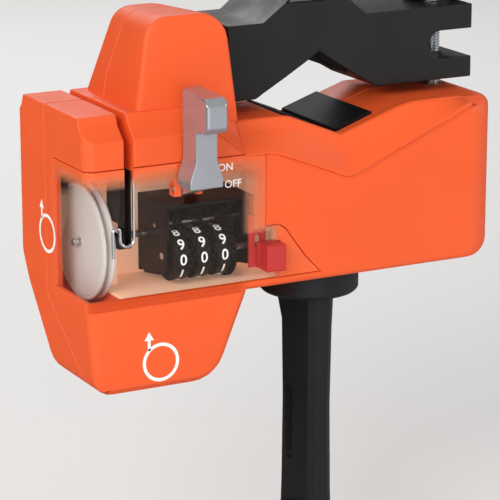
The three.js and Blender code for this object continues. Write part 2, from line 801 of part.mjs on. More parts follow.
function armPadOutline(side, grow, thick) {
  const run = side < 0 ? noseX - noseLeft : noseRight - noseX;
  const drop = noseZ - armFloor;
  const length = Math.hypot(run, drop);
  const along = [(side * run) / length, -drop / length];
  const down = [-(side * drop) / length, -run / length];
  const at = (share, depth) => {
    const s = share * length + (share > padInnerShare ? grow : -grow);
    return [noseX + s * along[0] + depth * down[0], noseZ + s * along[1] + depth * down[1]];
  };
  const points = [at(padInnerShare, -padSink - grow), at(padOuterShare, -padSink - grow),
    at(padOuterShare, thick - padSink), at(padInnerShare, thick - padSink)];
  return side < 0 ? points : points.reverse();
}

function armPadSeat(side) {
  const outline = armPadOutline(side, seatGap, padThick + overrun / 4);
  return prismY(outline, armPadFront - seatGap, armPadBack + seatGap);
}

function armPad(side) {
  return prismY(armPadOutline(side, 0, padThick), armPadFront, armPadBack);
}

// The clamp knob with its screw
const washerThick = 1.2;
const washerRadius = 8;
const knobLobes = 9;
const knobLobeDepth = 1.1;
const knobFloor = armTop + washerThick + 2 * seatGap;

function knobOutline(radius, lobes, depth) {
  const steps = lobes * 8;
  return Array.from({ length: steps }, (_, i) => {
    const angle = (2 * Math.PI * i) / steps;
    const r = radius - (depth * (1 - Math.cos(lobes * angle))) / 2;
    return [r * Math.cos(angle), r * Math.sin(angle)];
  });
}

function clampKnob() {
  const outline = knobOutline(knobRadius, knobLobes, knobLobeDepth).map(([x, y]) => [clampX + x, clampY + y]);
  const body = prismZ(outline, knobFloor, knobFloor + knobHeight, knobLobeDepth);
  const bore = rodZ(clampX, clampY, screwRadius + seatGap, knobFloor - wall, knobFloor + knobHeight / 2);
  return body.subtract(bore);
}

function clampScrew() {
  const floor = deckTop - screwDepth + 2 * seatGap;
  const top = knobFloor + knobHeight / 2 - seatGap;
  return rodZ(clampX, clampY, screwRadius, floor, top, smallSteps, screwRadius / 8);
}

function clampInsert() {
  const floor = deckTop - insertDepth;
  return ringZ(clampX, clampY, insertRadius, screwRadius + seatGap, floor, deckTop, smallSteps);
}

// The lever: a head and a stem, with a neck that runs back to its pivot
const leverBack = -33.6;
const leverStemFront = -46.5;
const leverHeadFront = -56;
const leverTop = 14;
const leverHeadFloor = -1.6;
const leverFloor = -25.4;
const leverFlare = 2.5;
const leverFlareTop = -14;
const leverFlareFull = -21.5;
const leverEdge = 1.3;

function lever() {
  const side = prismX([
    [leverBack, leverTop], [leverBack, leverFloor], [leverStemFront, leverFloor],
    [leverStemFront, leverHeadFloor - leverEdge], [leverStemFront - leverEdge, leverHeadFloor],
    [leverHeadFront + 2 * leverEdge, leverHeadFloor], [leverHeadFront, leverHeadFloor + 2 * leverEdge],
    [leverHeadFront, leverTop - 3 * leverEdge], [leverHeadFront + 2 * leverEdge, leverTop - leverEdge],
  ], leverX - leverWidth, leverX + leverWidth);
  const half = leverWidth / 2;
  const flared = half + leverFlare;
  const front = prismY([
    [leverX - half, leverTop - leverEdge], [leverX - half, leverFlareTop], [leverX - flared, leverFlareFull],
    [leverX - flared, leverFloor], [leverX + flared, leverFloor], [leverX + flared, leverFlareFull],
    [leverX + half, leverFlareTop], [leverX + half, leverTop - leverEdge],
    [leverX + half - leverEdge, leverTop], [leverX - half + leverEdge, leverTop],
  ], leverHeadFront, leverBack, leverEdge);
  const neckHalf = leverNeckWidth / 2;
  const [neckFloor, neckTop] = [leverPivotZ - neckHalf, leverPivotZ + neckHalf];
  const neckFront = leverStemFront + half;
  const neckBack = leverPivotY + neckHalf;
  const neck = prismX([
    [neckFront, leverFloor + leverEdge], [leverBack - leverEdge, leverFloor + leverEdge],
    [leverBack - leverEdge, neckTop], [leverPivotY + neckHalf / 2, neckTop],
    [neckBack, leverPivotZ + neckHalf / 2], [neckBack, leverPivotZ - neckHalf / 2],
    [leverPivotY + neckHalf / 2, neckFloor], [leverPivotY, neckFloor], [neckFront, leverFloor - leverEdge],
  ], leverX - neckHalf, leverX + neckHalf);
  return side.intersect(front).add(neck)
    .subtract(rodX(leverPivotY, leverPivotZ, pinRadius + seatGap, leverX - leverWidth, leverX + leverWidth));
}

function leverPin() {
  const reach = leverNeckWidth / 2 + seatGap + lugThick;
  return rodX(leverPivotY, leverPivotZ, pinRadius, leverX - reach, leverX + reach, smallSteps, seatGap);
}

// The gear train: the wheel shaft drives the idler, and the idler drives the units wheel
const firstCentre = (driveModule * (pinionTeeth + firstGearTeeth)) / 2;
const inputCentre = (inputModule * (pinionTeeth + inputGearTeeth)) / 2;
const transferModule = (2 * inputCentre) / (pinionTeeth + transferTeeth);

// The idler's axis, above the line from the digit shaft to the wheel shaft
function idlerAxis() {
  const run = Math.hypot(wheelY - digitY, wheelZ - digitZ);
  const along = [(wheelY - digitY) / run, (wheelZ - digitZ) / run];
  const foot = (inputCentre ** 2 - firstCentre ** 2 + run ** 2) / (2 * run);
  const rise = Math.sqrt(inputCentre ** 2 - foot ** 2);
  return [digitY + foot * along[0] - rise * along[1], digitZ + foot * along[1] + rise * along[0]];
}

const [idlerY, idlerZ] = idlerAxis();
const wheelToIdler = Math.atan2(idlerZ - wheelZ, idlerY - wheelY);
const idlerToDigits = Math.atan2(digitZ - idlerZ, digitY - idlerY);

// A spur gear's outline; phase is the direction of one tooth, and teeth can be a few of the full count
const toothShares = { tip: 0.85, root: 1.1, tipHalf: 0.1, rootHalf: 0.29 };

function gearOutline(y, z, module, count, phase, kept = count, rootRadius = 0) {
  const pitch = (2 * Math.PI) / count;
  const tip = module * (count / 2 + toothShares.tip);
  const root = rootRadius || module * (count / 2 - toothShares.root);
  const at = (radius, angle) => [y + radius * Math.cos(angle), z + radius * Math.sin(angle)];
  const points = [];
  for (let i = 0; i < count; i += 1) {
    const middle = phase + i * pitch;
    const [rootHalf, tipHalf] = [toothShares.rootHalf * pitch, toothShares.tipHalf * pitch];
    points.push(at(root, middle - rootHalf));
    if (i < kept) points.push(at(tip, middle - tipHalf), at(tip, middle + tipHalf));
    points.push(at(root, middle + rootHalf));
  }
  return points;
}

function gearX(y, z, module, count, phase, from, width) {
  return prismX(gearOutline(y, z, module, count, phase), from, from + width);
}

function boredX(solid, y, z, radius, from, to) {
  return solid.subtract(rodX(y, z, radius, from - wall, to + wall, smallSteps));
}

// Where each wheel and gear stands along X
const sideGap = 0.3;
const ringWidth = 1.4;
const segmentWidth = 1.3;
const digitX = [0, 1, 2].map((i) => firstDigitX + i * digitPitch);
const inputGearLeft = digitX[2] + drumWidth / 2 + sideGap;
const idlerGearLeft = inputGearLeft + gearWidth + 2 * sideGap;

// The digit shaft and the idler shaft are fixed in the frame; the wheel shaft turns
const framePlate = 1.6;
const frameLeft = digitX[0] - drumWidth / 2 - sideGap - framePlate;
const frameRight = -38.6;
const frameTop = -37;
const frameFloor = -70;
const frameBack = seamBack - wall - seatGap;
const frameFront = -22;
const frameChamfer = 3;
const digitBore = shaftRadius + runGap;

// A digit wheel: drum, ring gear on its right and a two-tooth segment on its left
function digitWheel(index) {
  const x = digitX[index];
  const half = drumWidth / 2;
  let solid = rodX(digitY, digitZ, digitRadius, x - half, x + half, roundSteps, sideGap);
  const meshPhase = idlerToDigits + Math.PI + Math.PI / transferTeeth;
  if (index < 2) {
    const ring = gearOutline(digitY, digitZ, transferModule, transferTeeth, meshPhase);
    solid = solid.add(prismX(ring, x, x + half + ringWidth));
  }
  if (index > 0) {
    const lock = inputCentre - transferModule * (pinionTeeth / 2 + toothShares.tip) - sideGap;
    const away = idlerToDigits - Math.PI / 2;
    const segment = gearOutline(digitY, digitZ, transferModule, transferTeeth, away, 2, lock);
    solid = solid.add(prismX(segment, x - half - segmentWidth, x));
  }
  return boredX(solid, digitY, digitZ, digitBore, x - half - segmentWidth, x + half + ringWidth);
}

function inputGear() {
  const phase = idlerToDigits + Math.PI + Math.PI / inputGearTeeth;
  const gear = gearX(digitY, digitZ, inputModule, inputGearTeeth, phase, inputGearLeft, gearWidth);
  return boredX(gear, digitY, digitZ, digitBore, inputGearLeft, inputGearLeft + gearWidth);
}

function transferPinion(index) {
  const from = digitX[index] + drumWidth / 2 + sideGap;
  const width = digitPitch - drumWidth - 2 * sideGap;
  const gear = gearX(idlerY, idlerZ, transferModule, pinionTeeth, idlerToDigits, from, width);
  return boredX(gear, idlerY, idlerZ, shaftRadius + runGap, from, from + width);
}

function idlerGear() {
  const pinionFrom = inputGearLeft - sideGap;
  const pinionWidth = idlerGearLeft - pinionFrom + gearWidth / 2;
  const pinion = gearX(idlerY, idlerZ, inputModule, pinionTeeth, idlerToDigits, pinionFrom, pinionWidth);
  const gearPhase = wheelToIdler + Math.PI + Math.PI / firstGearTeeth;
  const gear = gearX(idlerY, idlerZ, driveModule, firstGearTeeth, gearPhase, idlerGearLeft, gearWidth);
  return boredX(pinion.add(gear), idlerY, idlerZ, idlerBore, pinionFrom, idlerGearLeft + gearWidth);
}

const idlerShaftRadius = 1;
const idlerBore = idlerShaftRadius + sideGap / 2;

function drivePinion() {
  const from = idlerGearLeft - sideGap;
  const width = gearWidth + 2 * sideGap;
  const hub = rodX(wheelY, wheelZ, driveHubRadius, from + width - sideGap, from + width + gearWidth);
  const gear = gearX(wheelY, wheelZ, driveModule, pinionTeeth, wheelToIdler, from, width).add(hub);
  return boredX(gear, wheelY, wheelZ, driveShaftEnd + sideGap / 2, from, from + width + gearWidth);
}

const driveHubRadius = 2.6;
const driveShaftEnd = 0.8;

// The wheel's shaft, stepped down where it carries the drive pinion
const shaftOverhang = 3;

function wheelShaft() {
  const left = wheelLeft - shaftOverhang;
  const shoulder = idlerGearLeft - 2 * sideGap;
  const main = rodX(wheelY, wheelZ, shaftRadius, left, shoulder, smallSteps, sideGap);
  return main.add(rodX(wheelY, wheelZ, driveShaftEnd, shoulder - wall, frameRight + seatGap, smallSteps));
}

function shaftBush() {
  const bush = rodX(wheelY, wheelZ, bushRadius, bearingLeft, bearingLeft + bearingThick, smallSteps);
  return boredX(bush, wheelY, wheelZ, shaftRadius + sideGap, bearingLeft, bearingLeft + bearingThick);
}

// The measuring wheel: two flanges, a groove of half a foot round its floor, and a web with a hub
const grooveRadius = 20.6;
const grooveFloorWidth = 1.2;
const hubWidth = 8.4;
const wheelHubRadius = 4.2;
const wheelDish = 1;

function measuringWheel() {
  const bore = shaftRadius + sideGap / 2;
  const middle = wheelWidth / 2;
  const profile = [
    [bore, -wheelDish], [wheelHubRadius, -wheelDish], [wheelHubRadius + wheelDish, wheelDish],
    [grooveRadius - wheelDish, wheelDish], [grooveRadius, 0], [wheelRadius, 0], [wheelRadius, wheelDish],
    [grooveRadius, middle - grooveFloorWidth / 2], [grooveRadius, middle + grooveFloorWidth / 2],
    [wheelRadius, wheelWidth - wheelDish], [wheelRadius, wheelWidth], [grooveRadius, wheelWidth],
    [grooveRadius - wheelDish, wheelWidth - wheelDish], [wheelHubRadius + wheelDish, wheelWidth - wheelDish],
    [wheelHubRadius, hubWidth], [bore, hubWidth], [bore, -wheelDish],
  ];
  return turnedX(profile, wheelLeft, wheelY, wheelZ, wheelSteps);
}

// The counter's frame: a black box with an open front, and holes for its shafts
function counterFrame() {
  const back = box(frameLeft, frameRight, frameBack - framePlate, frameBack, frameFloor, frameTop);
  const roof = box(frameLeft, frameRight, frameFront, frameBack, frameTop - framePlate, frameTop);
  const side = [
    [frameBack, frameFloor + frameChamfer], [frameBack, frameTop], [frameFront, frameTop],
    [frameFront, frameFloor + 2 * frameChamfer], [frameFront + frameChamfer, frameFloor + frameChamfer],
    [frameBack - 2 * frameChamfer, frameFloor]].reverse();
  const left = prismX(side, frameLeft, frameLeft + framePlate);
  const right = prismX(side, frameRight - framePlate, frameRight);
  const holes = [
    rodX(wheelY, wheelZ, shaftRadius + sideGap, frameLeft - wall, frameLeft + 2 * wall),
    rodX(wheelY, wheelZ, driveShaftEnd + sideGap, frameRight - 2 * wall, frameRight + wall),
    rodX(digitY, digitZ, shaftRadius + sideGap, frameLeft - wall, frameRight + wall),
    rodX(idlerY, idlerZ, idlerShaftRadius + sideGap, frameLeft - wall, frameRight + wall),
  ];
  return back.add(roof).add(right).add(left).subtract(wasm.Manifold.union(holes));
}

function fixedShaft(y, z, radius) {
  return rodX(y, z, radius, frameLeft - sideGap, frameRight + sideGap, smallSteps, sideGap);
}

// The reset parts
function resetButton() {
  const outline = [
    [buttonLeft, buttonFloor], [buttonRight, buttonFloor], [buttonRight, buttonTop], [buttonLeft, buttonTop]];
  return prismY(outline, buttonFront, buttonBack, seatGap);
}

function resetYoke() {
  const plateFront = buttonBack + seatGap;
  const notchTop = buttonTop - yokeLimb;
  const plate = prismY([
    [yokeLeft, buttonFloor], [buttonRight, buttonFloor], [buttonRight, notchTop], [yokeRight, notchTop],
    [yokeRight, yokeTop], [yokeRight - yokeLimb, yokeTop], [yokeRight - yokeLimb, yokeBarTop],
    [yokeLeft + yokeLimb, yokeBarTop], [yokeLeft + yokeLimb, yokeTop], [yokeLeft, yokeTop],
  ], plateFront, plateFront + yokeThick);
  return plate.subtract(box(yokeLeft + yokeLimb, yokeRight - yokeLimb, plateFront - wall,
    plateFront + 2 * wall, notchTop, yokeBarFloor));
}

const springWire = 0.4;
const springTurns = 5;

function coilPath(radius, length, turns, from) {
  return new (class extends THREE.Curve {
    getPoint(t) {
      const angle = 2 * Math.PI * turns * t;
      return from(radius * Math.cos(angle), length * t, radius * Math.sin(angle));
    }
  })();
}

function coil(radius, wire, length, turns, from, stepsPerTurn = 8) {
  const section = shapeOf(circle(0, 0, wire, 6));
  const extrudePath = coilPath(radius, length, turns, from);
  const extrusion = { extrudePath, steps: turns * stepsPerTurn, bevelEnabled: false };
  return solidOf(new THREE.ExtrudeGeometry(section, extrusion));
}

function resetSpring() {
  const from = buttonBack + seatGap + yokeThick + seatGap + springWire;
  const length = springSeatFront - seatGap - springWire - from;
  return coil(springRadius - 2 * springWire, springWire, length, springTurns,
    (u, along, v) => new THREE.Vector3(springX + u, from + along, springZ + v));
}

// The swivel: a friction ring and a collar under the floor, held by a bolt from inside
const ringThick = 1.6;
const ringRadius = 18;
const collarRound = 1.4;
const socketRise = 7;
const socketInset = 1.6;
const boltReach = 22;
const boltHeadThick = 5;
const collarTop = housingFloor - 2 * seatGap - ringThick;

function swivelRing() {
  return ringZ(0, 0, ringRadius, boltRadius + runGap, collarTop + seatGap, housingFloor - seatGap);
}

function stemLoop(z, grow, widen) {
  const halfX = (stemWidth / 2) * widen + grow;
  const front = -stemFrontReach * widen - grow;
  const back = stemBackReach * widen + grow;
  const cut = 2 * stemCutShare * halfX;
  const small = cut / 3;
  const outline = [
    [halfX, front + cut], [halfX, back - small], [halfX - small, back], [-halfX + small, back],
    [-halfX, back - small], [-halfX, front + cut], [-halfX + cut, front], [halfX - cut, front]];
  return outline.map(([x, y]) => new THREE.Vector3(stemX + x, y, z));
}

const stemCutShare = 0.27;

function swivelCollar() {
  const profile = [
    [0, collarFloor], [collarRadius - collarRound, collarFloor], [collarRadius, collarFloor + collarRound],
    [collarRadius, collarTop - collarRound / 2], [collarRadius - collarRound / 2, collarTop], [0, collarTop]];
  const socketLoops = [collarFloor - wall, collarFloor + socketRise + seatGap]
    .map((z) => stemLoop(z, seatGap - socketInset, 1));
  return turnedZ(profile, 0, 0, 0, wheelSteps).subtract(loft(socketLoops, ['x', 'y']))
    .subtract(rodZ(0, 0, boltRadius + seatGap, collarFloor - wall, collarTop + wall));
}

function swivelBolt() {
  const headFloor = housingFloor + swivelFloorThick + 2 * seatGap + washerThick;
  const hexagon = circle(0, 0, boltHeadRadius - runGap, 6);
  const head = prismZ(hexagon, headFloor, headFloor + boltHeadThick, seatGap);
  return head.add(rodZ(0, 0, boltRadius, collarFloor - boltReach, headFloor + wall));
}

function swivelWasher() {
  const floor = housingFloor + swivelFloorThick + seatGap;
  return ringZ(0, 0, boltHeadRadius, boltRadius + runGap, floor, floor + washerThick, smallSteps);
}

// The stem: a waisted bar with a gusset, a long slot and a hub for the spool's spindle
const slotTop = -131.5;
const slotFloor = -166;
const slotWidth = 6.8;
const slotY = 4.4;
const gussetBack = 21;
const gussetFloor = -120;
const gussetThick = 8;
const gussetBow = 3;
const hubHalfShare = 0.6;
const waistShares = [[0, 1.06], [0.12, 1.01], [0.42, 0.96], [0.75, 1], [1, 1.08]];

function stem() {
  const top = collarFloor - seatGap;
  const barLoops = waistShares.map(([share, widen]) => stemLoop(mix(top, spindleZ, share), 0, widen));
  const tenonLoops = [top - wall, collarFloor + socketRise].map((z) => stemLoop(z, -socketInset, 1));
  const gussetRoot = stemBackReach - wall;
  const gussetMiddle = [(gussetRoot + gussetBack - gussetBow) / 2, (gussetFloor + top - gussetBow) / 2];
  const gussetOutline = [[0, gussetFloor], [gussetRoot, gussetFloor], gussetMiddle, [gussetBack, top], [0, top]];
  const gusset = prismX(gussetOutline, stemX - gussetThick / 2, stemX + gussetThick / 2);
  const hub = rodX(0, spindleZ, hubRadius, stemX - hubHalf, stemX + hubHalf, roundSteps, collarRound);
  const slotHalf = slotWidth / 2;
  const slot = prismX([
    ...circle(slotY, slotTop - slotHalf, slotHalf, smallSteps).slice(0, smallSteps / 2 + 1),
    ...circle(slotY, slotFloor + slotHalf, slotHalf, smallSteps, Math.PI).slice(0, smallSteps / 2 + 1),
  ], stemX - stemWidth, stemX + stemWidth);
  const reach = 2 * stemWidth;
  const spindleHole = rodX(0, spindleZ, spindleRadius + seatGap, stemX - reach, stemX + reach);
  const boltFloor = collarFloor - boltReach - seatGap;
  const boltHole = rodZ(0, 0, boltRadius + seatGap, boltFloor, collarFloor + socketRise + wall);
  return loft(barLoops, ['x', 'y']).add(loft(tenonLoops, ['x', 'y'])).add(gusset).add(hub)
    .subtract(slot).subtract(spindleHole).subtract(boltHole);
}

// The spool's spindle, its cones, spring and tension knob
const hubHalf = stemWidth * hubHalfShare;
const hubSide = stemX - hubHalf;
const spindleHead = 5;
const spindleHeadRadius = 7.5;
const coneRadius = 21;
const coneNose = 9;
const coneLength = 17;
const coneRim = 2.5;
const outerConeX = -70;
const tensionSpringLength = 12;
const tensionKnobLength = 11;
const tensionKnobRadius = 14;

function spoolSpindle() {
  const right = stemX + hubHalf + seatGap;
  const head = prismX(circle(0, spindleZ, spindleHeadRadius, 6), right, right + spindleHead, seatGap);
  return head.add(rodX(0, spindleZ, spindleRadius, spindleTip, right + wall, smallSteps, 0));
}

function cone(x, facing) {
  const bore = spindleRadius + sideGap;
  const profile = [
    [bore, 0], [coneRadius, 0], [coneRadius, coneRim], [coneNose, coneLength], [bore, coneLength], [bore, 0]];
  const oriented = profile.map(([r, h]) => [r, facing * h]);
  return turnedX(facing > 0 ? oriented : oriented.reverse(), x, 0, spindleZ, roundSteps);
}

const innerConeX = hubSide - seatGap;
const tensionSpringStart = outerConeX - seatGap;
const tensionSpringEnd = tensionSpringStart - tensionSpringLength;
const tensionWasherLeft = tensionSpringEnd - seatGap - washerThick;
const tensionKnobRight = tensionWasherLeft - seatGap;
const tensionSpringWire = 0.8;
const tensionSpringTurns = 4;

function tensionSpring() {
  const wire = tensionSpringWire;
  const radius = spindleRadius + 2 * wire + sideGap;
  return coil(radius, wire, tensionSpringLength - 2 * wire, tensionSpringTurns,
    (u, along, v) => new THREE.Vector3(tensionSpringEnd + wire + along, u, spindleZ + v), 10);
}

function tensionWasher() {
  const right = tensionWasherLeft + washerThick;
  const disc = rodX(0, spindleZ, washerRadius, tensionWasherLeft, right, roundSteps);
  return boredX(disc, 0, spindleZ, spindleRadius + sideGap, tensionWasherLeft, right);
}

function tensionKnob() {
  const outline = knobOutline(tensionKnobRadius, knobLobes, knobLobeDepth).map(([y, z]) => [y, spindleZ + z]);
  const left = tensionKnobRight - tensionKnobLength;
  const body = prismX(outline, left, tensionKnobRight, knobLobeDepth);
  return boredX(body, 0, spindleZ, spindleRadius + sideGap, left, tensionKnobRight);
}

addPiece('front_shell', frontShell(), orange);
addPiece('rear_shell', rearShell(), orange);
addPiece('counter_cover', counterCover(), clearOrange);
addPiece('rod_pad_left', rodPad(-1), rubber);
addPiece('rod_pad_right', rodPad(1), rubber);
screwSpots.forEach((spot, i) => addPiece(`housing_screw_${i + 1}`, shellScrew(spot), steel));
addPiece('clamp_insert', clampInsert(), brass);
addPiece('line_channel', lineChannel(), black);
addPiece('wire_guide', wireGuide(), chrome);
addPiece('clamp_arm', clampArm(), black);
addPiece('arm_pad_left', armPad(-1), rubber);
addPiece('arm_pad_right', armPad(1), rubber);
addPiece('clamp_washer', ringZ(clampX, clampY, washerRadius, screwRadius + runGap, armTop + seatGap,
  armTop + seatGap + washerThick), steel);
addPiece('clamp_knob', clampKnob(), black);
addPiece('clamp_screw', clampScrew(), steel);
addPiece('lever', lever(), chrome);
addPiece('lever_pin', leverPin(), steel);
addPiece('counter_frame', counterFrame(), black);
addPiece('digit_shaft', fixedShaft(digitY, digitZ, shaftRadius), steel);
addPiece('idler_shaft', fixedShaft(idlerY, idlerZ, idlerShaftRadius), steel);
addPiece('shaft_bush', shaftBush(), brass);
addPiece('measuring_wheel', measuringWheel(), greyPlastic);
addPiece('wheel_shaft', wheelShaft(), steel);
addPiece('drive_pinion', drivePinion(), whitePlastic);
addPiece('idler_gear', idlerGear(), whitePlastic);
['hundreds_wheel', 'tens_wheel', 'units_wheel'].forEach((name, i) => addPiece(name, digitWheel(i), black));
addPiece('input_gear', inputGear(), whitePlastic);
['tens_transfer', 'units_transfer'].forEach((name, i) => addPiece(name, transferPinion(i), whitePlastic));
addPiece('reset_button', resetButton(), red);
addPiece('reset_yoke', resetYoke(), red);
addPiece('reset_spring', resetSpring(), steel);
addPiece('swivel_ring', swivelRing(), whitePlastic);
addPiece('swivel_collar', swivelCollar(), black);
addPiece('swivel_washer', swivelWasher(), steel);
addPiece('swivel_bolt', swivelBolt(), steel);
addPiece('stem', stem(), black);
addPiece('spool_spindle', spoolSpindle(), steel);
addPiece('inner_cone', cone(innerConeX, -1), black);
addPiece('outer_cone', cone(outerConeX, 1), black);
addPiece('tension_spring', tensionSpring(), steel);
addPiece('tension_washer', tensionWasher(), steel);
addPiece('tension_knob', tensionKnob(), black);

export default group;
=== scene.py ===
import bmesh
import bpy
import json
import math
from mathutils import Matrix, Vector
from mathutils.bvhtree import BVHTree


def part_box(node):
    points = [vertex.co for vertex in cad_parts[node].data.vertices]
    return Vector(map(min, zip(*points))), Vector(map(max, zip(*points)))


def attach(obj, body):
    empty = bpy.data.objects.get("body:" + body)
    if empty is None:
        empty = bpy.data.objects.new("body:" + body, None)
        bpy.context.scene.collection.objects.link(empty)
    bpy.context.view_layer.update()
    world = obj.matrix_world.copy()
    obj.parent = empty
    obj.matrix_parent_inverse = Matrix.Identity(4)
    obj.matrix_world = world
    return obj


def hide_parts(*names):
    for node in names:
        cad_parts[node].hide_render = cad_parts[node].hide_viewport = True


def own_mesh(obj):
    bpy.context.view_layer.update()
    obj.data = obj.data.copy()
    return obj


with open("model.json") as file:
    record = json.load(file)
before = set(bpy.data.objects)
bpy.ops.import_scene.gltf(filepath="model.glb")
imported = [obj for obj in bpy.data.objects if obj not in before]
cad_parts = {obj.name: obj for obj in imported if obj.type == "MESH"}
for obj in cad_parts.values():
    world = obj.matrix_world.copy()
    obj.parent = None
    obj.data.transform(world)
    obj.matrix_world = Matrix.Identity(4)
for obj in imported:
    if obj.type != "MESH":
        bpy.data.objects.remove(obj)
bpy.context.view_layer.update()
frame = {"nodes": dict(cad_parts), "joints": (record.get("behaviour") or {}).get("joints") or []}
mm = 0.001
mergeGap = 0.002 * mm
wireSmooth = 50  # degrees


# small helpers: places, colours, nodes, selecting

def nodeBox(nodeName):
    # a CAD node's lowest and highest corners in millimetres, to a hundredth
    return [[round(c / mm, 2) for c in corner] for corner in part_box(nodeName)]


def nodeCentre(nodeName):
    low, high = nodeBox(nodeName)
    return [(a + b) / 2 for a, b in zip(low, high)]


def linear(hexColour):
    channels = [int(hexColour[i:i + 2], 16) / 255 for i in (1, 3, 5)]
    return tuple(c / 12.92 if c <= 0.04045 else ((c + 0.055) / 1.055) ** 2.4 for c in channels) + (1.0,)


def outlet(source):
    # a node stands for its first output
    return source if isinstance(source, bpy.types.NodeSocket) else source.outputs[0]


def addNode(tree, kind, settings=None, links=None):
    # settings are sockets' values, the node's own options or a ramp's stops, and links come from nodes
    node = tree.nodes.new("ShaderNode" + kind)
    for key, value in (settings or {}).items():
        if key == "stops":
            elements = node.color_ramp.elements
            while len(elements) < len(value):
                elements.new(0.5)
            for element, (position, colour) in zip(elements, value):
                element.position = position
                element.color = linear(colour) if isinstance(colour, str) else (colour, colour, colour, 1)
        elif isinstance(key, int) or key in node.inputs:
            node.inputs[key].default_value = value
        else:
            setattr(node, key, value)
    for key, source in (links or {}).items():
        tree.links.new(outlet(source), node.inputs[key])
    return node


def feedShader(tree, shader, values):
    # a plain value is set on its socket, and a node or its output is linked to it
    for key, value in values.items():
        if isinstance(value, (bpy.types.Node, bpy.types.NodeSocket)):
            tree.links.new(outlet(value), shader.inputs[key])
        else:
            shader.inputs[key].default_value = value


def startMaterial(name):
    material = bpy.data.materials.new(name)
    material.use_nodes = True
    tree = material.node_tree
    place = addNode(tree, "TexCoord").outputs["Object"]
    return material, tree, tree.nodes["Principled BSDF"], place


def deselectAll():
    if bpy.context.object and bpy.context.object.mode != "OBJECT":
        bpy.ops.object.mode_set(mode="OBJECT")
    bpy.ops.object.select_all(action="DESELECT")


def activate(piece):
    deselectAll()
    piece.select_set(True)
    bpy.context.view_layer.objects.active = piece


def settle(piece):
    activate(piece)
    bpy.ops.object.transform_apply(location=True, rotation=True, scale=True)


def applyModifier(piece, kind, **settings):
    activate(piece)
    modifier = piece.modifiers.new(kind.lower(), kind)
    for key, value in settings.items():
        setattr(modifier, key, value)
    bpy.ops.object.modifier_apply(modifier=modifier.name)


def smoothed(piece, degrees):
    activate(piece)
    bpy.ops.object.shade_smooth_by_angle(angle=math.radians(degrees))


def joined(pieces):
    deselectAll()
    for piece in pieces:
        piece.select_set(True)
    bpy.context.view_layer.objects.active = pieces[0]
    bpy.ops.object.join()
    return pieces[0]


def tidied(piece):
    # merged, with every face turned out
    activate(piece)
    bpy.ops.object.mode_set(mode="EDIT")
    bpy.ops.mesh.select_all(action="SELECT")
    bpy.ops.mesh.remove_doubles(threshold=mergeGap)
    bpy.ops.mesh.normals_make_consistent(inside=False)
    bpy.ops.object.mode_set(mode="OBJECT")
    return piece


def turnedPiece(profile, centre, axis, steps):
    # a closed outline of (along, radius) in millimetres, spun round an axis through centre
    deselectAll()
    bpy.ops.mesh.primitive_circle_add(vertices=len(profile), radius=mm)
    piece = bpy.context.object
    centre = Vector(centre) * mm
    along = Vector(axis)
    across = along.orthogonal().normalized()
    for vertex, (reach, radius) in zip(piece.data.vertices, profile):
        vertex.co = centre + along * reach * mm + across * radius * mm
    bpy.ops.object.mode_set(mode="EDIT")
    bpy.ops.mesh.select_all(action="SELECT")
    bpy.ops.mesh.spin(steps=steps, angle=2 * math.pi, center=centre, axis=along)
    bpy.ops.object.mode_set(mode="OBJECT")
    return tidied(piece)


def lineMesh(name, points, thickness=None):
    # a line through points in millimetres, made a mesh: a thin edge, or a round wire with flat ends
    data = bpy.data.curves.new(name, "CURVE")
    data.dimensions = "3D"
    if thickness:
        data.bevel_depth = thickness["radius"] * mm
        data.bevel_resolution = thickness["sides"]
        data.use_fill_caps = True
    spline = data.splines.new("POLY")
    spline.points.add(len(points) - 1)
    for point, place in zip(spline.points, points):
        point.co = (*(c * mm for c in place), 1)
    piece = bpy.data.objects.new(name, data)
    bpy.context.collection.objects.link(piece)
    activate(piece)
    bpy.ops.object.convert(target="MESH")
    return bpy.context.object


def wirePiece(points, radius, sides):
    piece = lineMesh("wire", points, {"radius": radius, "sides": sides})
    tidied(piece)
    smoothed(piece, wireSmooth)
    return piece


def finishPiece(piece, name, material, body, replaced=()):
    settle(piece)
    piece.name = name
    piece.data.name = name
    piece.data.materials.clear()
    piece.data.materials.append(material)
    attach(piece, body)
    if replaced:
        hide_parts(*replaced)
    return piece


# materials: every size of a pattern is in millimetres

# tones and rough are the two ends of a colour's and a roughness's slight change over the surface
plastics = {
    "orangeAbs": {"tones": ("#E85825", "#EF5D29"), "rough": (0.43, 0.54), "grain": 0.12, "shine": 0.3},
    "blackGlassNylon": {"tones": ("#161617", "#1B1B1C"), "rough": (0.41, 0.52), "grain": 0.3, "shine": 0.3},
    "blackCounterAbs": {"tones": ("#0D0D0E", "#121213"), "rough": (0.4, 0.51), "grain": 0.12, "shine": 0.12},
    "paleGreyAbs": {"tones": ("#C4BDB7", "#CFC9C3"), "rough": (0.29, 0.4), "grain": 0.1, "shine": 0.35},
    "redAbs": {"tones": ("#B42C29", "#C23430"), "rough": (0.29, 0.4), "grain": 0.1, "shine": 0.35},
    "whiteAcetal": {"tones": ("#DEDACF", "#E8E5DC"), "rough": (0.33, 0.44), "grain": 0.06, "shine": 0.35},
}
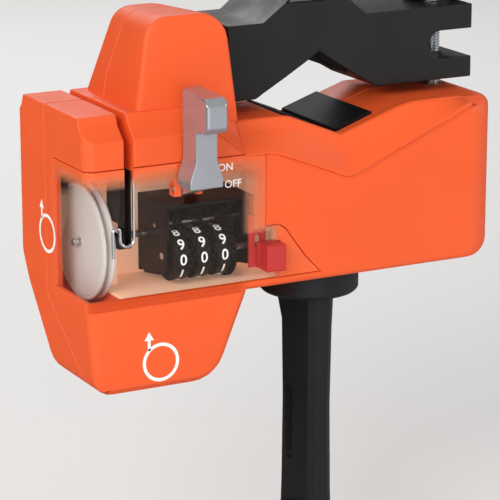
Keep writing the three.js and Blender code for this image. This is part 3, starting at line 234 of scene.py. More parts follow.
# the grain is 0.5 mm, coarser than the real 0.1 mm, so that it shows
moulded = {"cloud": 55.56, "wear": 11.11, "grain": 0.5, "grainDepth": 0.05, "ior": 1.53}
# painted light: a paler tint and a faint glow on the compartment's faces, so that they look lit
compartmentPaintedLight = {
    "tint": "#FFCBA8", "paintedGlow": 0.16,
    "fades": [("X", -117.3, -117.1), ("X", 8, 0), ("Y", -30.6, -30.4), ("Y", 24, 22), ("Z", -72.4, -72.1),
              ("Z", -31, -36)],
}
# painted shade: a deeper orange on the sill strip under the cover, standing in for the shade there
sillPaintedShade = {
    "tint": "#CC430C",
    "fades": [("X", -46, -52), ("Y", -31.5, -32.6), ("Z", -69.9, -70.3), ("Z", -74.8, -74.2)],
}
platings = {
    "chromePlatedWire": {"tones": ("#DADDE2", "#E6E8EC"), "rough": (0.1, 0.15), "cloud": 16.67, "metal": 1.0},
    "chromePlatedZinc": {"tones": ("#B0B2B8", "#BABCC2"), "rough": (0.2, 0.25), "cloud": 33.33, "metal": 0.7},
}
turnings = {
    "turnedSteel": {"tones": ("#B9BCC0", "#CDD0D3"), "rough": (0.24, 0.34), "lines": (0.25, 6.25, 6.25)},
    "turnedBrass": {"tones": ("#B08C49", "#C9A55E"), "rough": (0.26, 0.36), "lines": (5, 5, 0.25)},
}
cover = {
    "right": [("X", -38, -50)], "low": [("Z", -46, -51), ("X", -32, -36.5)],
    "frame": [("Z", -18, -26), ("Y", -1.5, -5)],
    "tints": [(0.0, "#F0622D"), (0.7, "#F59A6E"), (1.0, "#FBE0D0")],
    "alphas": [(0.0, 0.97), (0.45, 0.4), (0.9, 0.01)],
    "polish": 3.846, "rough": (0.14, 0.24), "ior": 1.49,
}
padPrint = {"tones": ("#E9E8E4", "#F7F6F3"), "speck": 0.6667, "roughness": 0.5}
# the rubber's tones run from each pebble's middle to its edge
rubber = {"tones": ("#161617", "#0F0F10"), "pebble": 1.111, "pebbleDepth": 0.1, "bump": 0.3, "roughness": 0.6,
          "shine": 0.15}
mixSockets = {"first": 6, "second": 7, "result": 2}  # the Mix node's places for colours


def scaleOf(size):
    return 1 / (size * mm)


def spread(low, high, start=0.3, end=0.7):
    # a ramp over the levels that a noise mostly keeps to
    return {"stops": [(start, low), (end, high)]}


def insideFades(tree, place, fades):
    # 1 where every named coordinate is past its clear level, and 0 past its solid one, in millimetres
    parts = addNode(tree, "SeparateXYZ", links={"Vector": place})
    mask = None
    for axis, solid, clear in fades:
        levels = {"From Min": solid * mm, "From Max": clear * mm}
        fade = addNode(tree, "MapRange", levels, {"Value": parts.outputs[axis]})
        if mask is not None:
            fade = addNode(tree, "Math", {"operation": "MULTIPLY"}, {0: mask, 1: fade})
        mask = fade
    return mask


def mouldedNodes(name):
    # injection moulded: an even colour, a soft gloss and a very fine spark-eroded grain
    settings = plastics[name]
    material, tree, shader, place = startMaterial(name)
    cloud = addNode(tree, "TexNoise", {"Scale": scaleOf(moulded["cloud"]), "Detail": 2.0}, {"Vector": place})
    shade = addNode(tree, "ValToRGB", spread(*settings["tones"]), {"Fac": cloud})
    wear = addNode(tree, "TexNoise", {"Scale": scaleOf(moulded["wear"]), "Detail": 3.0}, {"Vector": place})
    gloss = addNode(tree, "ValToRGB", spread(*settings["rough"]), {"Fac": wear})
    fine = addNode(tree, "TexNoise", {"Scale": scaleOf(moulded["grain"]), "Detail": 1.0}, {"Vector": place})
    depth = {"Strength": settings["grain"], "Distance": moulded["grainDepth"] * mm}
    bump = addNode(tree, "Bump", depth, {"Height": fine})
    feedShader(tree, shader, {"Base Color": shade, "Roughness": gloss, "Normal": bump, "IOR": moulded["ior"],
                              "Specular IOR Level": settings["shine"]})
    return material, tree, shader, place, shade


def mouldedPlastic(name):
    # ABS and acetal are smooth and even, and glass-filled nylon has a stronger grain
    return mouldedNodes(name)[0]


def housingAbs(name):
    # the housing's orange ABS, with painted light: the compartment's faces painted paler and glowing as if
    # lit, and the sill under the cover painted deeper orange as shade
    material, tree, shader, place, shade = mouldedNodes(name)
    mask = insideFades(tree, place, compartmentPaintedLight["fades"])
    shadeStrip = insideFades(tree, place, sillPaintedShade["fades"])
    for factor, tint in ((mask, compartmentPaintedLight["tint"]), (shadeStrip, sillPaintedShade["tint"])):
        blend = addNode(tree, "Mix", {"data_type": "RGBA", mixSockets["second"]: linear(tint)},
                        {"Factor": factor, mixSockets["first"]: shade})
        shade = blend.outputs[mixSockets["result"]]
    # painted light: the compartment's faces glow a little, so that they look lit inside the housing
    paintedGlow = addNode(tree, "Math", {"operation": "MULTIPLY", 1: compartmentPaintedLight["paintedGlow"]}, {0: mask})
    feedShader(tree, shader, {"Base Color": shade, "Emission Strength": paintedGlow,
                              "Emission Color": linear(compartmentPaintedLight["tint"])})
    return material


def platedMetal(name):
    # chrome plate over a casting or wire: bright and smooth, with only a faint cloud in its polish
    settings = platings[name]
    material, tree, shader, place = startMaterial(name)
    cloud = addNode(tree, "TexNoise", {"Scale": scaleOf(settings["cloud"]), "Detail": 2.0}, {"Vector": place})
    tone = addNode(tree, "ValToRGB", spread(*settings["tones"]), {"Fac": cloud})
    gloss = addNode(tree, "ValToRGB", spread(*settings["rough"]), {"Fac": cloud})
    feedShader(tree, shader, {"Base Color": tone, "Roughness": gloss, "Metallic": settings["metal"]})
    return material


def turnedMetal(name):
    # turned or drawn bar: a bright even tone, with fine lines round the tool's way
    settings = turnings[name]
    material, tree, shader, place = startMaterial(name)
    scales = [scaleOf(size) for size in settings["lines"]]
    stretch = addNode(tree, "Mapping", {"Scale": scales}, {"Vector": place})
    lines = addNode(tree, "TexNoise", {"Scale": 1.0, "Detail": 2.0}, {"Vector": stretch})
    tone = addNode(tree, "ValToRGB", spread(*settings["tones"], start=0.35, end=0.65), {"Fac": lines})
    gloss = addNode(tree, "ValToRGB", spread(*settings["rough"]), {"Fac": lines})
    feedShader(tree, shader, {"Base Color": tone, "Roughness": gloss, "Metallic": 1.0})
    return material


def coverPlastic(name):
    # clear ABS, polished: tinted orange where it meets the housing, and nearly colourless over the works
    material, tree, shader, place = startMaterial(name)
    right = insideFades(tree, place, cover["right"])
    low = insideFades(tree, place, cover["low"])
    corner = addNode(tree, "Math", {"operation": "MAXIMUM"}, {0: right, 1: low})
    edge = insideFades(tree, place, cover["frame"])
    clear = addNode(tree, "Math", {"operation": "MULTIPLY"}, {0: corner, 1: edge})
    tint = addNode(tree, "ValToRGB", {"stops": cover["tints"]}, {"Fac": clear})
    alpha = addNode(tree, "ValToRGB", {"stops": cover["alphas"]}, {"Fac": clear})
    fine = addNode(tree, "TexNoise", {"Scale": scaleOf(cover["polish"]), "Detail": 2.0}, {"Vector": place})
    gloss = addNode(tree, "ValToRGB", spread(*cover["rough"]), {"Fac": fine})
    feedShader(tree, shader, {"Base Color": tint, "Alpha": alpha, "Roughness": gloss, "IOR": cover["ior"]})
    return material


def printInk(name):
    # pad-printed ink: flat, a little duller than the plastic under it
    material, tree, shader, place = startMaterial(name)
    speck = addNode(tree, "TexNoise", {"Scale": scaleOf(padPrint["speck"]), "Detail": 2.0}, {"Vector": place})
    tone = addNode(tree, "ValToRGB", spread(*padPrint["tones"], end=0.6), {"Fac": speck})
    feedShader(tree, shader, {"Base Color": tone, "Roughness": padPrint["roughness"]})
    return material


def rubberPad(name):
    # nitrile rubber, moulded: nearly black, dull, with a soft pebbled skin
    material, tree, shader, place = startMaterial(name)
    pebble = addNode(tree, "TexVoronoi", {"Scale": scaleOf(rubber["pebble"])}, {"Vector": place})
    tone = addNode(tree, "ValToRGB", spread(*rubber["tones"], start=0.0), {"Fac": pebble})
    depth = {"Strength": rubber["bump"], "Distance": rubber["pebbleDepth"] * mm}
    bump = addNode(tree, "Bump", depth, {"Height": pebble})
    feedShader(tree, shader, {"Base Color": tone, "Normal": bump, "Roughness": rubber["roughness"],
                              "Specular IOR Level": rubber["shine"]})
    return material


orangeAbs = housingAbs("orangeAbs")
blackNylon = mouldedPlastic("blackGlassNylon")
counterAbs = mouldedPlastic("blackCounterAbs")
greyAbs = mouldedPlastic("paleGreyAbs")
redAbs = mouldedPlastic("redAbs")
whiteAcetal = mouldedPlastic("whiteAcetal")
clearCover = coverPlastic("clearCoverAbs")
turnedSteel = turnedMetal("turnedSteel")
chromeWire = platedMetal("chromePlatedWire")
chromeZinc = platedMetal("chromePlatedZinc")
turnedBrass = turnedMetal("turnedBrass")
padRubber = rubberPad("nitrileRubber")
whiteInk = printInk("whitePadPrint")
print("materials ready")

nodeFinishes = {
    "front_shell": orangeAbs, "rear_shell": orangeAbs, "counter_cover": clearCover,
    "rod_pad_left": padRubber, "rod_pad_right": padRubber,
    "arm_pad_left": padRubber, "arm_pad_right": padRubber,
    "clamp_insert": turnedBrass, "shaft_bush": turnedBrass, "swivel_ring": whiteAcetal,
    "wire_guide": chromeWire, "lever": chromeZinc, "reset_button": redAbs, "reset_yoke": redAbs,
    "measuring_wheel": greyAbs, "line_channel": counterAbs, "counter_frame": counterAbs,
    "drive_pinion": counterAbs, "idler_gear": counterAbs, "input_gear": counterAbs,
    "units_wheel": counterAbs, "tens_wheel": counterAbs, "hundreds_wheel": counterAbs,
    "units_transfer": counterAbs, "tens_transfer": counterAbs,
    "clamp_arm": blackNylon, "clamp_knob": blackNylon, "swivel_collar": blackNylon, "stem": blackNylon,
    "inner_cone": blackNylon, "outer_cone": blackNylon, "tension_knob": blackNylon,
}
for nodeName, node in frame["nodes"].items():
    for materialSlot in node.material_slots:
        materialSlot.material = nodeFinishes.get(nodeName, turnedSteel)
print("CAD nodes painted")


# mouldings: a copy of each node with its outer edges rounded as the mould's are

mouldings = {
    "front_shell": {"name": "frontHousing", "body": "housing", "slot": "orange", "edge": 0.55, "smooth": 17,
                    "segments": 6},
    "rear_shell": {"name": "rearHousing", "body": "housing", "slot": "orange", "edge": 0.55, "smooth": 17,
                   "segments": 6},
    "counter_cover": {"name": "counterWindow", "body": "housing", "slot": "clear", "edge": 0.2},
    "clamp_arm": {"name": "clampJaw", "body": "clamp", "slot": "black", "edge": 0.6},
    "clamp_knob": {"name": "clampHandKnob", "body": "knob", "slot": "black", "edge": 0.4},
    "lever": {"name": "frontLever", "body": "lever", "slot": "chrome", "edge": 0.6},
    "stem": {"name": "spoolStem", "body": "swivel", "slot": "black", "edge": 0.4},
    "swivel_collar": {"name": "turnCollar", "body": "swivel", "slot": "black", "edge": 0.4},
    "reset_button": {"name": "zeroButton", "body": "reset", "slot": "red", "edge": 0.4},
    "reset_yoke": {"name": "zeroYoke", "body": "reset", "slot": "red", "edge": 0.25},
    "counter_frame": {"name": "counterCradle", "body": "housing", "slot": "black", "edge": 0.25},
    "line_channel": {"name": "lineTrough", "body": "housing", "slot": "black", "edge": 0.12},
    "tension_knob": {"name": "tensionHandKnob", "body": "tension", "slot": "black", "edge": 0.4},
    "inner_cone": {"name": "innerSpoolCone", "body": "inner_cone", "slot": "black", "edge": 0.4},
    "outer_cone": {"name": "outerSpoolCone", "body": "outer_cone", "slot": "black", "edge": 0.4},
    "units_wheel": {"name": "unitsDrum", "body": "units", "slot": "black", "edge": 0.12},
    "tens_wheel": {"name": "tensDrum", "body": "tens", "slot": "black", "edge": 0.12},
    "hundreds_wheel": {"name": "hundredsDrum", "body": "hundreds", "slot": "black", "edge": 0.12},
    "rod_pad_left": {"name": "leftRodPad", "body": "housing", "slot": "rubber", "edge": 0.5},
    "rod_pad_right": {"name": "rightRodPad", "body": "housing", "slot": "rubber", "edge": 0.5},
    "arm_pad_left": {"name": "leftJawPad", "body": "clamp", "slot": "rubber", "edge": 0.5},
    "arm_pad_right": {"name": "rightJawPad", "body": "clamp", "slot": "rubber", "edge": 0.5},
}
# bends in degrees and lengths in millimetres
edgeRules = {"convexBend": 20, "concaveBend": 12, "flat": 0.5, "shortest": 0.9, "clearance": 0.3,
             "openAir": 300, "merge": 0.01, "smooth": 33, "segments": 3}


def facesOpenAir(surface, edge):
    outward = (edge.link_faces[0].normal + edge.link_faces[1].normal).normalized()
    middle = (edge.verts[0].co + edge.verts[1].co) / 2
    start = middle + outward * edgeRules["clearance"] * mm
    return surface.ray_cast(start, outward, edgeRules["openAir"] * mm)[0] is None


def selectEdges(piece, wanted):
    bpy.ops.mesh.select_all(action="DESELECT")
    shape = bmesh.from_edit_mesh(piece.data)
    surface = BVHTree.FromBMesh(shape)
    for edge in shape.edges:
        if len(edge.link_faces) != 2:
            continue
        bend = math.degrees(edge.calc_face_angle_signed(0))
        if wanted == "concave":
            edge.select = bend < -edgeRules["concaveBend"]
        elif bend >= edgeRules["convexBend"] and edge.calc_length() >= edgeRules["shortest"] * mm:
            edge.select = facesOpenAir(surface, edge)
    bmesh.update_edit_mesh(piece.data)


def roundOuterEdges(piece, width, smoothBend, segments):
    # rounds the convex edges that face open air, and keeps the concave lines crisp
    activate(piece)
    bpy.ops.object.mode_set(mode="EDIT")
    bpy.ops.mesh.select_mode(type="EDGE")
    bpy.ops.mesh.select_all(action="SELECT")
    bpy.ops.mesh.remove_doubles(threshold=edgeRules["merge"] * mm)
    bpy.ops.mesh.dissolve_limited(angle_limit=math.radians(edgeRules["flat"]))
    selectEdges(piece, "concave")
    bpy.ops.mesh.mark_sharp()
    selectEdges(piece, "convex")
    bpy.ops.mesh.bevel(offset=width * mm, segments=segments, affect="EDGES", clamp_overlap=False,
                       miter_outer="ARC")
    bpy.ops.object.mode_set(mode="OBJECT")
    smoothed(piece, smoothBend)
    applyModifier(piece, "WEIGHTED_NORMAL", keep_sharp=True)


def mouldedCopy(nodeName, settings):
    source = frame["nodes"][nodeName]
    piece = bpy.data.objects.new(settings["name"], source.data.copy())
    bpy.context.collection.objects.link(piece)
    smoothBend = settings.get("smooth", edgeRules["smooth"])
    roundOuterEdges(piece, settings["edge"], smoothBend, settings.get("segments", edgeRules["segments"]))
    finishPiece(piece, settings["name"], nodeFinishes[nodeName], settings["body"],
                [nodeName])


for nodeName, settings in mouldings.items():
    mouldedCopy(nodeName, settings)
print("mouldings rounded")


# the bands round the deck's front edge, over the moulding's faceted ones

# rim, ridge and crease are lines of (x, z), and a row is (line, y, drop, share of the lean forward)
topBand = {
    "columns": 10, "rounding": 4, "thick": 0.9, "lift": 0.18, "sink": 0.5, "forward": 1.3, "smooth": 8,
    "grow": (-48, -32), "shrink": (60, 52),
    "rim": ((-48, -4.7), (-26.2, -4.7), (-13.1, -10.1), (0, -15.5), (2.4, -14.7), (32.4, -4.7), (60, -4.7)),
    "ridge": ((-48, -8.9), (-26.2, -8.9), (-13.1, -14.3), (0, -21.8), (4.8, -23.1), (32.4, -5.5), (60, -5.5)),
    "crease": ((-48, -16.6), (-35, -16.6), (-17.5, -23.4), (-1.2, -30.2), (2.4, -30.2), (32.4, -17.5),
               (60, -6.1)),
    "rows": (("rim", -23.4, -0.4, 0), ("rim", -24.6, 0, 0.5), ("rim", -25.1, 0, 1), ("rim", -25.4, -0.12, 1),
             ("rim", -25.6, -0.45, 1), ("ridge", -27.4, 0, 0), ("crease", -32.75, 0.3, 0.3),
             ("crease", -33, 0, 0.3), ("crease", -33, -0.2, 0.3), ("crease", -32.6, -0.4, 0)),
}


def softLine(name):
    # the line's points, each stretch cut up and its corners eased
    line = topBand[name]
    points = [line[0]]
    for (x, z), (nextX, nextZ) in zip(line, line[1:]):
        for step in range(1, topBand["columns"] + 1):
            share = step / topBand["columns"]
            points.append((x + (nextX - x) * share, z + (nextZ - z) * share))
    for _ in range(topBand["rounding"]):
        trios = zip(points, points[1:], points[2:])
        middle = [tuple((a + 2 * b + c) / 4 for a, b, c in zip(*trio)) for trio in trios]
        points = [points[0], *middle, points[-1]]
    return points


def deckBand():
    lines = {name: softLine(name) for name in ("rim", "ridge", "crease")}
    count = len(lines["rim"])
    deselectAll()
    bpy.ops.mesh.primitive_grid_add(x_subdivisions=count - 1, y_subdivisions=len(topBand["rows"]) - 1,
                                    size=2 * mm)
    piece = bpy.context.object
    for index, vertex in enumerate(piece.data.vertices):
        row, column = divmod(index, count)
        name, y, drop, lean = topBand["rows"][row]
        x, z = lines[name][column]
        # full over the middle, and sunk into the moulding at both ends
        share = min(1, *((x - start) / (end - start) for start, end in (topBand["grow"], topBand["shrink"])))
        lift = topBand["lift"] * share - topBand["sink"] * (1 - share) ** 3
        vertex.co = (x * mm, (y - lift - lean * share * topBand["forward"]) * mm, (z + drop + lift) * mm)
    applyModifier(piece, "SOLIDIFY", thickness=topBand["thick"] * mm, offset=-1)
    tidied(piece)
    smoothed(piece, topBand["smooth"])
    finishPiece(piece, "deckBand", orangeAbs, "housing")


deckBand()
print("deck band laid")


# turned, bent and wound pieces, in millimetres

# each point is (along, radius), from the wheel's left face to the end of its hub
wheel = {"steps": 128, "smooth": 28, "outline": (
    (0.3, 1.6), (0.3, 2.7), (0, 3.0), (0, 22.4), (0.15, 22.6), (0.15, 23.0), (0, 23.2), (0, 23.7),
    (0.25, 24.15), (0.7, 24.3), (1.0, 24.3), (1.35, 24.1), (1.6, 23.7), (2.25, 20.9), (2.5, 20.6),
    (3.1, 20.6), (3.35, 20.9), (4.0, 23.7), (4.25, 24.1), (4.6, 24.3), (4.9, 24.3), (5.35, 24.15),
    (5.6, 23.7), (5.6, 5.4), (5.9, 4.6), (6.5, 4.2), (8.4, 4.2), (8.4, 1.6))}

hoop = {"radius": 0.6, "right": -96.8, "bendLeft": -102.9, "bendZ": -46.6, "leg": -106.1, "archZ": -43.4,
        "steps": 20, "sides": 5}

# the tooth is an outline over one pitch: at the crest or the root, and at that share of the pitch
clampThread = {"crest": 3.7, "root": 3.05, "pitch": 1.25, "steps": 32, "smooth": 25, "spareTurns": 2,
               "tooth": (("crest", 0), ("root", 0.45), ("root", 0.55), ("crest", 0.92), ("crest", 1))}

coils = {
    "tension_spring": {"name": "tensionCoil", "body": "tension", "start": (-93.5, 0, -206), "axis": "x",
                       "length": 10.4, "radius": 5.9, "wire": 0.75, "turns": 5.5},
    "reset_spring": {"name": "zeroCoil", "body": "housing", "start": (-35.6, -25.4, -61.2), "axis": "y",
                     "length": 10.7, "radius": 2.2, "wire": 0.38, "turns": 6.5},
}
coilMesh = {"steps": 22, "sides": 3}


def lineWheel():
    reach = max(along for along, radius in wheel["outline"])
    x, y, z = nodeCentre("measuring_wheel")
    hubEnd = nodeBox("measuring_wheel")[1][0]
    piece = turnedPiece(wheel["outline"], (hubEnd - reach, y, z), (1, 0, 0), wheel["steps"])
    smoothed(piece, wheel["smooth"])
    finishPiece(piece, "lineWheel", greyAbs, "measuring", ["measuring_wheel"])


def arcPoints(x, y, z, radius, start, end):
    angles = [start + (end - start) * step / hoop["steps"] for step in range(hoop["steps"] + 1)]
    return [(x + radius * math.cos(a), y, z + radius * math.sin(a)) for a in angles]


def wireHoop():
    low, high = nodeBox("wire_guide")
    y = nodeCentre("wire_guide")[1]
    big = (hoop["right"] - hoop["bendLeft"]) / 2
    small = (hoop["bendLeft"] - hoop["leg"]) / 2
    points = [(hoop["right"], y, high[2])]
    points += arcPoints(hoop["right"] - big, y, hoop["bendZ"], big, 0, -math.pi)
    points += arcPoints(hoop["bendLeft"] - small, y, hoop["archZ"], small, 0, math.pi)
    points.append((hoop["leg"], y, low[2]))
    piece = wirePiece(points, hoop["radius"], hoop["sides"])
    finishPiece(piece, "lineHoop", chromeWire, "housing", ["wire_guide"])


def threadedRod():
    # one pitch of the thread's outline, screwed up the rod, then cut flat and closed at both ends
    settings = clampThread
    pitch, steps = settings["pitch"], settings["steps"]
    low, high = nodeBox("clamp_screw")
    x, y = nodeCentre("clamp_screw")[:2]
    floor, top = low[2], high[2]
    piece = lineMesh("tooth", [(settings[level], 0, share * pitch) for level, share in settings["tooth"]])
    turns = math.ceil((top - floor) / pitch) + settings["spareTurns"]
    applyModifier(piece, "SCREW", angle=2 * math.pi, screw_offset=pitch * mm, axis="Z", iterations=turns,
                  steps=steps, render_steps=steps, use_merge_vertices=True, merge_threshold=mergeGap)
    piece.location = (x * mm, y * mm, (floor - pitch) * mm)
    settle(piece)
    bpy.ops.object.mode_set(mode="EDIT")
    for level, way in ((floor, -1), (top, 1)):
        bpy.ops.mesh.select_all(action="SELECT")
        bpy.ops.mesh.bisect(plane_co=(0, 0, level * mm), plane_no=(0, 0, way), use_fill=True,
                            clear_outer=True)
    bpy.ops.object.mode_set(mode="OBJECT")
    tidied(piece)
    smoothed(piece, settings["smooth"])
    finishPiece(piece, "clampThread", turnedSteel, "knob", ["clamp_screw"])


def coilPiece(nodeName):
    # a compression spring whose end turns lie flat, each one wire thick
    settings = coils[nodeName]
    turns, steps = settings["turns"], coilMesh["steps"]
    flat = 2 * settings["wire"]
    points = []
    for step in range(int(turns * steps) + 1):
        turn = step / steps
        rise = max(0, min(1, (turn - 1) / (turns - 2)))
        lastTurn = max(0, min(1, turn - turns + 1))
        along = flat * min(1, turn) + (settings["length"] - 2 * flat) * rise + flat * lastTurn
        u = settings["radius"] * math.cos(2 * math.pi * turn)
        v = settings["radius"] * math.sin(2 * math.pi * turn)
        offset = (along, u, v) if settings["axis"] == "x" else (u, along, v)
        points.append([a + b for a, b in zip(settings["start"], offset)])
    piece = wirePiece(points, settings["wire"], coilMesh["sides"])
    return finishPiece(piece, settings["name"], turnedSteel, settings["body"], [nodeName])


lineWheel()
wireHoop()
threadedRod()
coilPiece("tension_spring")
zeroCoil = coilPiece("reset_spring")
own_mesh(zeroCoil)
print("wheel, hoop, thread and springs made")


# the shell's screws: a pan head with a cross cut in it, once, and a copy on each screw's place

# each point of the crown is its depth under the head's top and its inset from the rim
screw = {"count": 6, "head": 3.1, "thick": 2.6, "crown": ((0, 0.9), (0.25, 0.4), (0.7, 0.08), (1.2, 0)),
         "shank": 1.5, "length": 19.4, "cross": (3.4, 0.75), "deep": 1.5, "steps": 40, "smooth": 40,
         "turn": 23}


def screwShape():
    head, thick, shank = screw["head"], screw["thick"], screw["shank"]
    tip = thick + screw["length"]
    crown = [(-depth, head - inset) for depth, inset in screw["crown"]]
    outline = [(0, 0), *crown, (-thick, head), (-thick, shank), (-tip, shank), (-tip, 0)]
    body = turnedPiece(outline, (0, 0, 0), (0, 1, 0), screw["steps"])
    long, wide = screw["cross"]
    for size in ((long, wide), (wide, long)):
        bpy.ops.mesh.primitive_cube_add(size=mm, location=(0, 0, 0))
        cutter = bpy.context.object
        cutter.scale = (size[0], 2 * screw["deep"], size[1])
        settle(cutter)
        applyModifier(body, "BOOLEAN", object=cutter, operation="DIFFERENCE", solver="EXACT")
        bpy.data.objects.remove(cutter)
    tidied(body)
    smoothed(body, screw["smooth"])
    return body


def placeScrew(shape, number):
    nodeName = "housing_screw_%d" % number
    low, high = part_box(nodeName)
    copy = bpy.data.objects.new("caseScrew%d" % number, shape.data.copy())
    bpy.context.collection.objects.link(copy)
    copy.rotation_euler = (0, math.radians(screw["turn"] * number), 0)
    copy.location = ((low[0] + high[0]) / 2, high[1], (low[2] + high[2]) / 2)
    finishPiece(copy, "caseScrew%d" % number, turnedSteel, "housing", [nodeName])


screwBody = screwShape()
for number in range(1, screw["count"] + 1):
    placeScrew(screwBody, number)
bpy.data.objects.remove(screwBody)
print("screws placed")


# print: figures round each drum, ON and OFF, and a ring with an arrow for the line's way, in millimetres

ink = {"thick": 0.02, "lift": 0.02, "curveSteps": 5}
drums = {"bodies": ("hundreds", "tens", "units"), "figures": 10, "height": 4.7, "size": 1.36,
         "boldness": 0.09, "cuts": 8}
words = {"size": 4.4, "boldness": 0.05, "places": {"ON": (-57.3, -21.0), "OFF": (-53.9, -28.2)}}
shellCorner = nodeBox("front_shell")[0]
rings = {
    "podRing": {"centre": (-87.5, shellCorner[1], -98.7), "way": (0, -1, 0), "across": (1, 0, 0)},
    "sideRing": {"centre": (shellCorner[0], 6, -50), "way": (-1, 0, 0), "across": (0, -1, 0)},
}
ringSizes = {"outer": 8.2, "inner": 6.8, "steps": 72}
arrowSizes = {"middle": -5.2, "tail": 5.4, "neck": 9.8, "tip": 13.4, "half": 2.1, "stem": 0.65}


def writtenText(body, size, boldness):
    deselectAll()
    bpy.ops.object.text_add(location=(0, 0, 0))
    text = bpy.context.object
    text.data.body = body
    text.data.align_x = "CENTER"
    text.data.align_y = "CENTER"
    text.data.size = size * mm
    text.data.offset = boldness * mm
    text.data.extrude = ink["thick"] * mm
    text.data.resolution_u = ink["curveSteps"]
    bpy.ops.object.convert(target="MESH")
    piece = bpy.context.object
    settle(piece)
    return tidied(piece)


def wrapOnDrum(piece, centre, radius, angle):
    x, y, z = centre
    for vertex in piece.data.vertices:
        u, v, w = vertex.co
        turn = angle + v / radius
        reach = radius + w
        vertex.co = (x + u, y - reach * math.cos(turn), z + reach * math.sin(turn))


def drumFigures(body):
    centre = next(joint["pos_m"] for joint in frame["joints"] if joint["name"] == body + "_spin")
    low, high = nodeBox(body + "_wheel")
    radius = ((high[2] - low[2]) / 2 + ink["lift"] + ink["thick"]) * mm
    figures = []
    for figure in range(drums["figures"]):
        text = writtenText(str(figure), drums["height"] * drums["size"], drums["boldness"])
        activate(text)
        bpy.ops.object.mode_set(mode="EDIT")
        for cut in range(drums["cuts"] + 1):
            level = (cut / drums["cuts"] - 0.5) * drums["height"] * mm
            bpy.ops.mesh.select_all(action="SELECT")
            bpy.ops.mesh.bisect(plane_co=(0, level, 0), plane_no=(0, 1, 0))
        bpy.ops.object.mode_set(mode="OBJECT")
        wrapOnDrum(text, centre, radius, -2 * math.pi / drums["figures"] * figure)
        figures.append(text)
    finishPiece(tidied(joined(figures)), body + "Figures", whiteInk, body)


def leverWords():
    face = nodeBox("counter_cover")[0][1] - ink["lift"] - ink["thick"]
    pieces = []
    for word, (x, z) in words["places"].items():
        text = writtenText(word, words["size"], words["boldness"])
        for vertex in text.data.vertices:
            u, v, w = vertex.co
            vertex.co = (x * mm + u, face * mm - w, z * mm + v)
        pieces.append(text)
    finishPiece(joined(pieces), "leverWords", whiteInk, "housing")


def flatPiece(outline, centre, across, way):
    # a printed outline of (across, up), as thin as ink
    deselectAll()
    bpy.ops.mesh.primitive_circle_add(vertices=len(outline), radius=mm, fill_type="NGON")
    piece = bpy.context.object
    start = Vector(centre) + Vector(way) * ink["lift"]
    for vertex, (u, v) in zip(piece.data.vertices, outline):
        vertex.co = (start + Vector(across) * u + Vector((0, 0, 1)) * v) * mm
    bpy.ops.object.mode_set(mode="EDIT")
    bpy.ops.mesh.select_all(action="SELECT")
    bpy.ops.mesh.extrude_region_move(TRANSFORM_OT_translate={"value": Vector(way) * 2 * ink["thick"] * mm})
    bpy.ops.object.mode_set(mode="OBJECT")
    return tidied(piece)


def wayRing(name, settings):
    start = Vector(settings["centre"]) + Vector(settings["way"]) * ink["lift"]
    inner, outer, thick = ringSizes["inner"], ringSizes["outer"], 2 * ink["thick"]
    outline = [(0, inner), (0, outer), (thick, outer), (thick, inner)]
    ring = turnedPiece(outline, start, settings["way"], ringSizes["steps"])
    x, half, stem = arrowSizes["middle"], arrowSizes["half"], arrowSizes["stem"]
    low, neck, tip = arrowSizes["tail"], arrowSizes["neck"], arrowSizes["tip"]
    arrow = [(x - stem, low), (x + stem, low), (x + stem, neck), (x + half, neck), (x, tip), (x - half, neck),
             (x - stem, neck)]
    flat = flatPiece(arrow, settings["centre"], settings["across"], settings["way"])
    finishPiece(joined([ring, flat]), name, whiteInk, "housing")


for body in drums["bodies"]:
    drumFigures(body)
leverWords()
for name, settings in rings.items():
    wayRing(name, settings)
print("print laid on")


# stage: floor, lights and camera, in metres

# the photograph's own perspective, solved from the housing's straight edges
photoCamera = {"target": (-0.0461, -0.033, -0.057), "way": (-0.4514, -0.8525, 0.2639), "distance": 1.0402,
               "focalPixels": 2537, "photoPixels": 500, "sensor": 36, "farthest": 50}
lamps = {
    "keyLamp": {"place": (-1.35, -1.0, 0.75), "size": (1.0, 0.8), "power": 22, "aim": (-0.04, 0, -0.06)},
    "windowLamp": {"place": (-0.5, -1.6, 0.12), "size": (0.8, 0.6), "power": 5.5, "aim": (-0.08, 0, -0.06)},
    "fillLamp": {"place": (1.5, -0.9, 0.5), "size": (1.2, 1.0), "power": 7, "aim": (0, 0, -0.08)},
    "backLamp": {"place": (0.2, 1.6, 1.1), "size": (1.4, 0.8), "power": 16, "aim": (0, 0, -0.05)},
}
# mirrored in the piece, the floor is bright in front on the right and dark behind on the left
floorLook = {"z": -0.232, "half": 6.0, "colour": "#E6E5E3", "roughness": 0.8, "way": (0.5, -0.85, 0),
             "levels": (-0.3, 0.5), "mirrored": [(0.0, "#2C2C2D"), (1.0, "#D4D4D6")]}
# a pale room: what shines sees it darker behind and on the left, as between a studio's soft boxes
roomLook = {"strength": 0.52, "colour": "#E9E9EA", "way": (0.62, -0.62, 0.48), "levels": (-0.9, 0.9),
            "mirrored": [(0.1, "#1C1C1D"), (0.5, "#4A494B"), (0.72, "#E8E8EA")]}


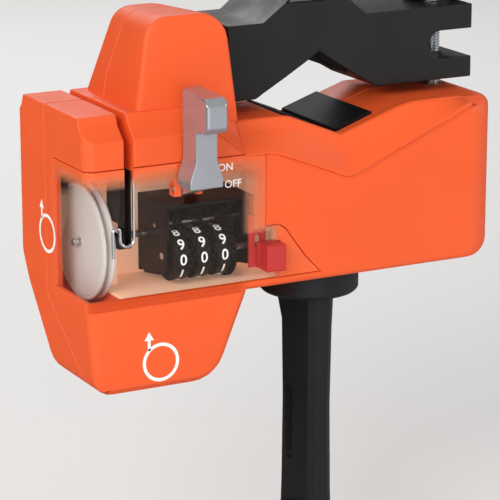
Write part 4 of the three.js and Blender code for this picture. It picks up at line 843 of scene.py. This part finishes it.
def placeCamera():
    settings = photoCamera
    target = Vector(settings["target"])
    data = bpy.data.cameras.new("photoCamera")
    data.lens = settings["focalPixels"] / settings["photoPixels"] * settings["sensor"]
    data.sensor_width = settings["sensor"]
    data.sensor_fit = "HORIZONTAL"
    data.clip_end = settings["farthest"]
    camera = bpy.data.objects.new("photoCamera", data)
    bpy.context.collection.objects.link(camera)
    camera.location = target + Vector(settings["way"]).normalized() * settings["distance"]
    camera.rotation_euler = (target - camera.location).to_track_quat("-Z", "Y").to_euler()
    bpy.context.scene.camera = camera


def softLamp(name, settings):
    data = bpy.data.lights.new(name, "AREA")
    data.shape = "RECTANGLE"
    data.size, data.size_y = settings["size"]
    data.energy = settings["power"]
    lamp = bpy.data.objects.new(name, data)
    bpy.context.collection.objects.link(lamp)
    lamp.location = settings["place"]
    lamp.rotation_euler = (Vector(settings["aim"]) - lamp.location).to_track_quat("-Z", "Y").to_euler()


def mirroredLook(tree, place, look):
    # the plain colour to the eye, and in what shines a tone that changes along one way
    along = addNode(tree, "VectorMath", {"operation": "DOT_PRODUCT", 1: look["way"]}, {0: place})
    levels = dict(zip(("From Min", "From Max"), look["levels"]))
    level = addNode(tree, "MapRange", levels, {"Value": along.outputs["Value"]})
    tone = addNode(tree, "ValToRGB", {"stops": look["mirrored"]}, {"Fac": level})
    ray = addNode(tree, "LightPath").outputs["Is Glossy Ray"]
    blend = addNode(tree, "Mix", {"data_type": "RGBA", mixSockets["first"]: linear(look["colour"])},
                    {"Factor": ray, mixSockets["second"]: tone})
    return blend.outputs[mixSockets["result"]]


def paleFloor():
    deselectAll()
    bpy.ops.mesh.primitive_plane_add(size=2 * floorLook["half"], location=(0, 0, floorLook["z"]))
    floor = bpy.context.object
    settle(floor)
    floor.name = "studioFloor"
    material, tree, shader, place = startMaterial("paleFloor")
    look = mirroredLook(tree, place, floorLook)
    feedShader(tree, shader, {"Base Color": look, "Roughness": floorLook["roughness"]})
    floor.data.materials.append(material)


def studioWorld():
    world = bpy.data.worlds.new("studioWorld")
    bpy.context.scene.world = world
    world.use_nodes = True
    tree = world.node_tree
    sky = addNode(tree, "TexCoord").outputs["Generated"]
    look = mirroredLook(tree, sky, roomLook)
    feedShader(tree, tree.nodes["Background"], {"Color": look, "Strength": roomLook["strength"]})


placeCamera()
paleFloor()
studioWorld()
for name, settings in lamps.items():
    softLamp(name, settings)
bpy.context.scene.view_settings.view_transform = "Standard"
print("studio lit")
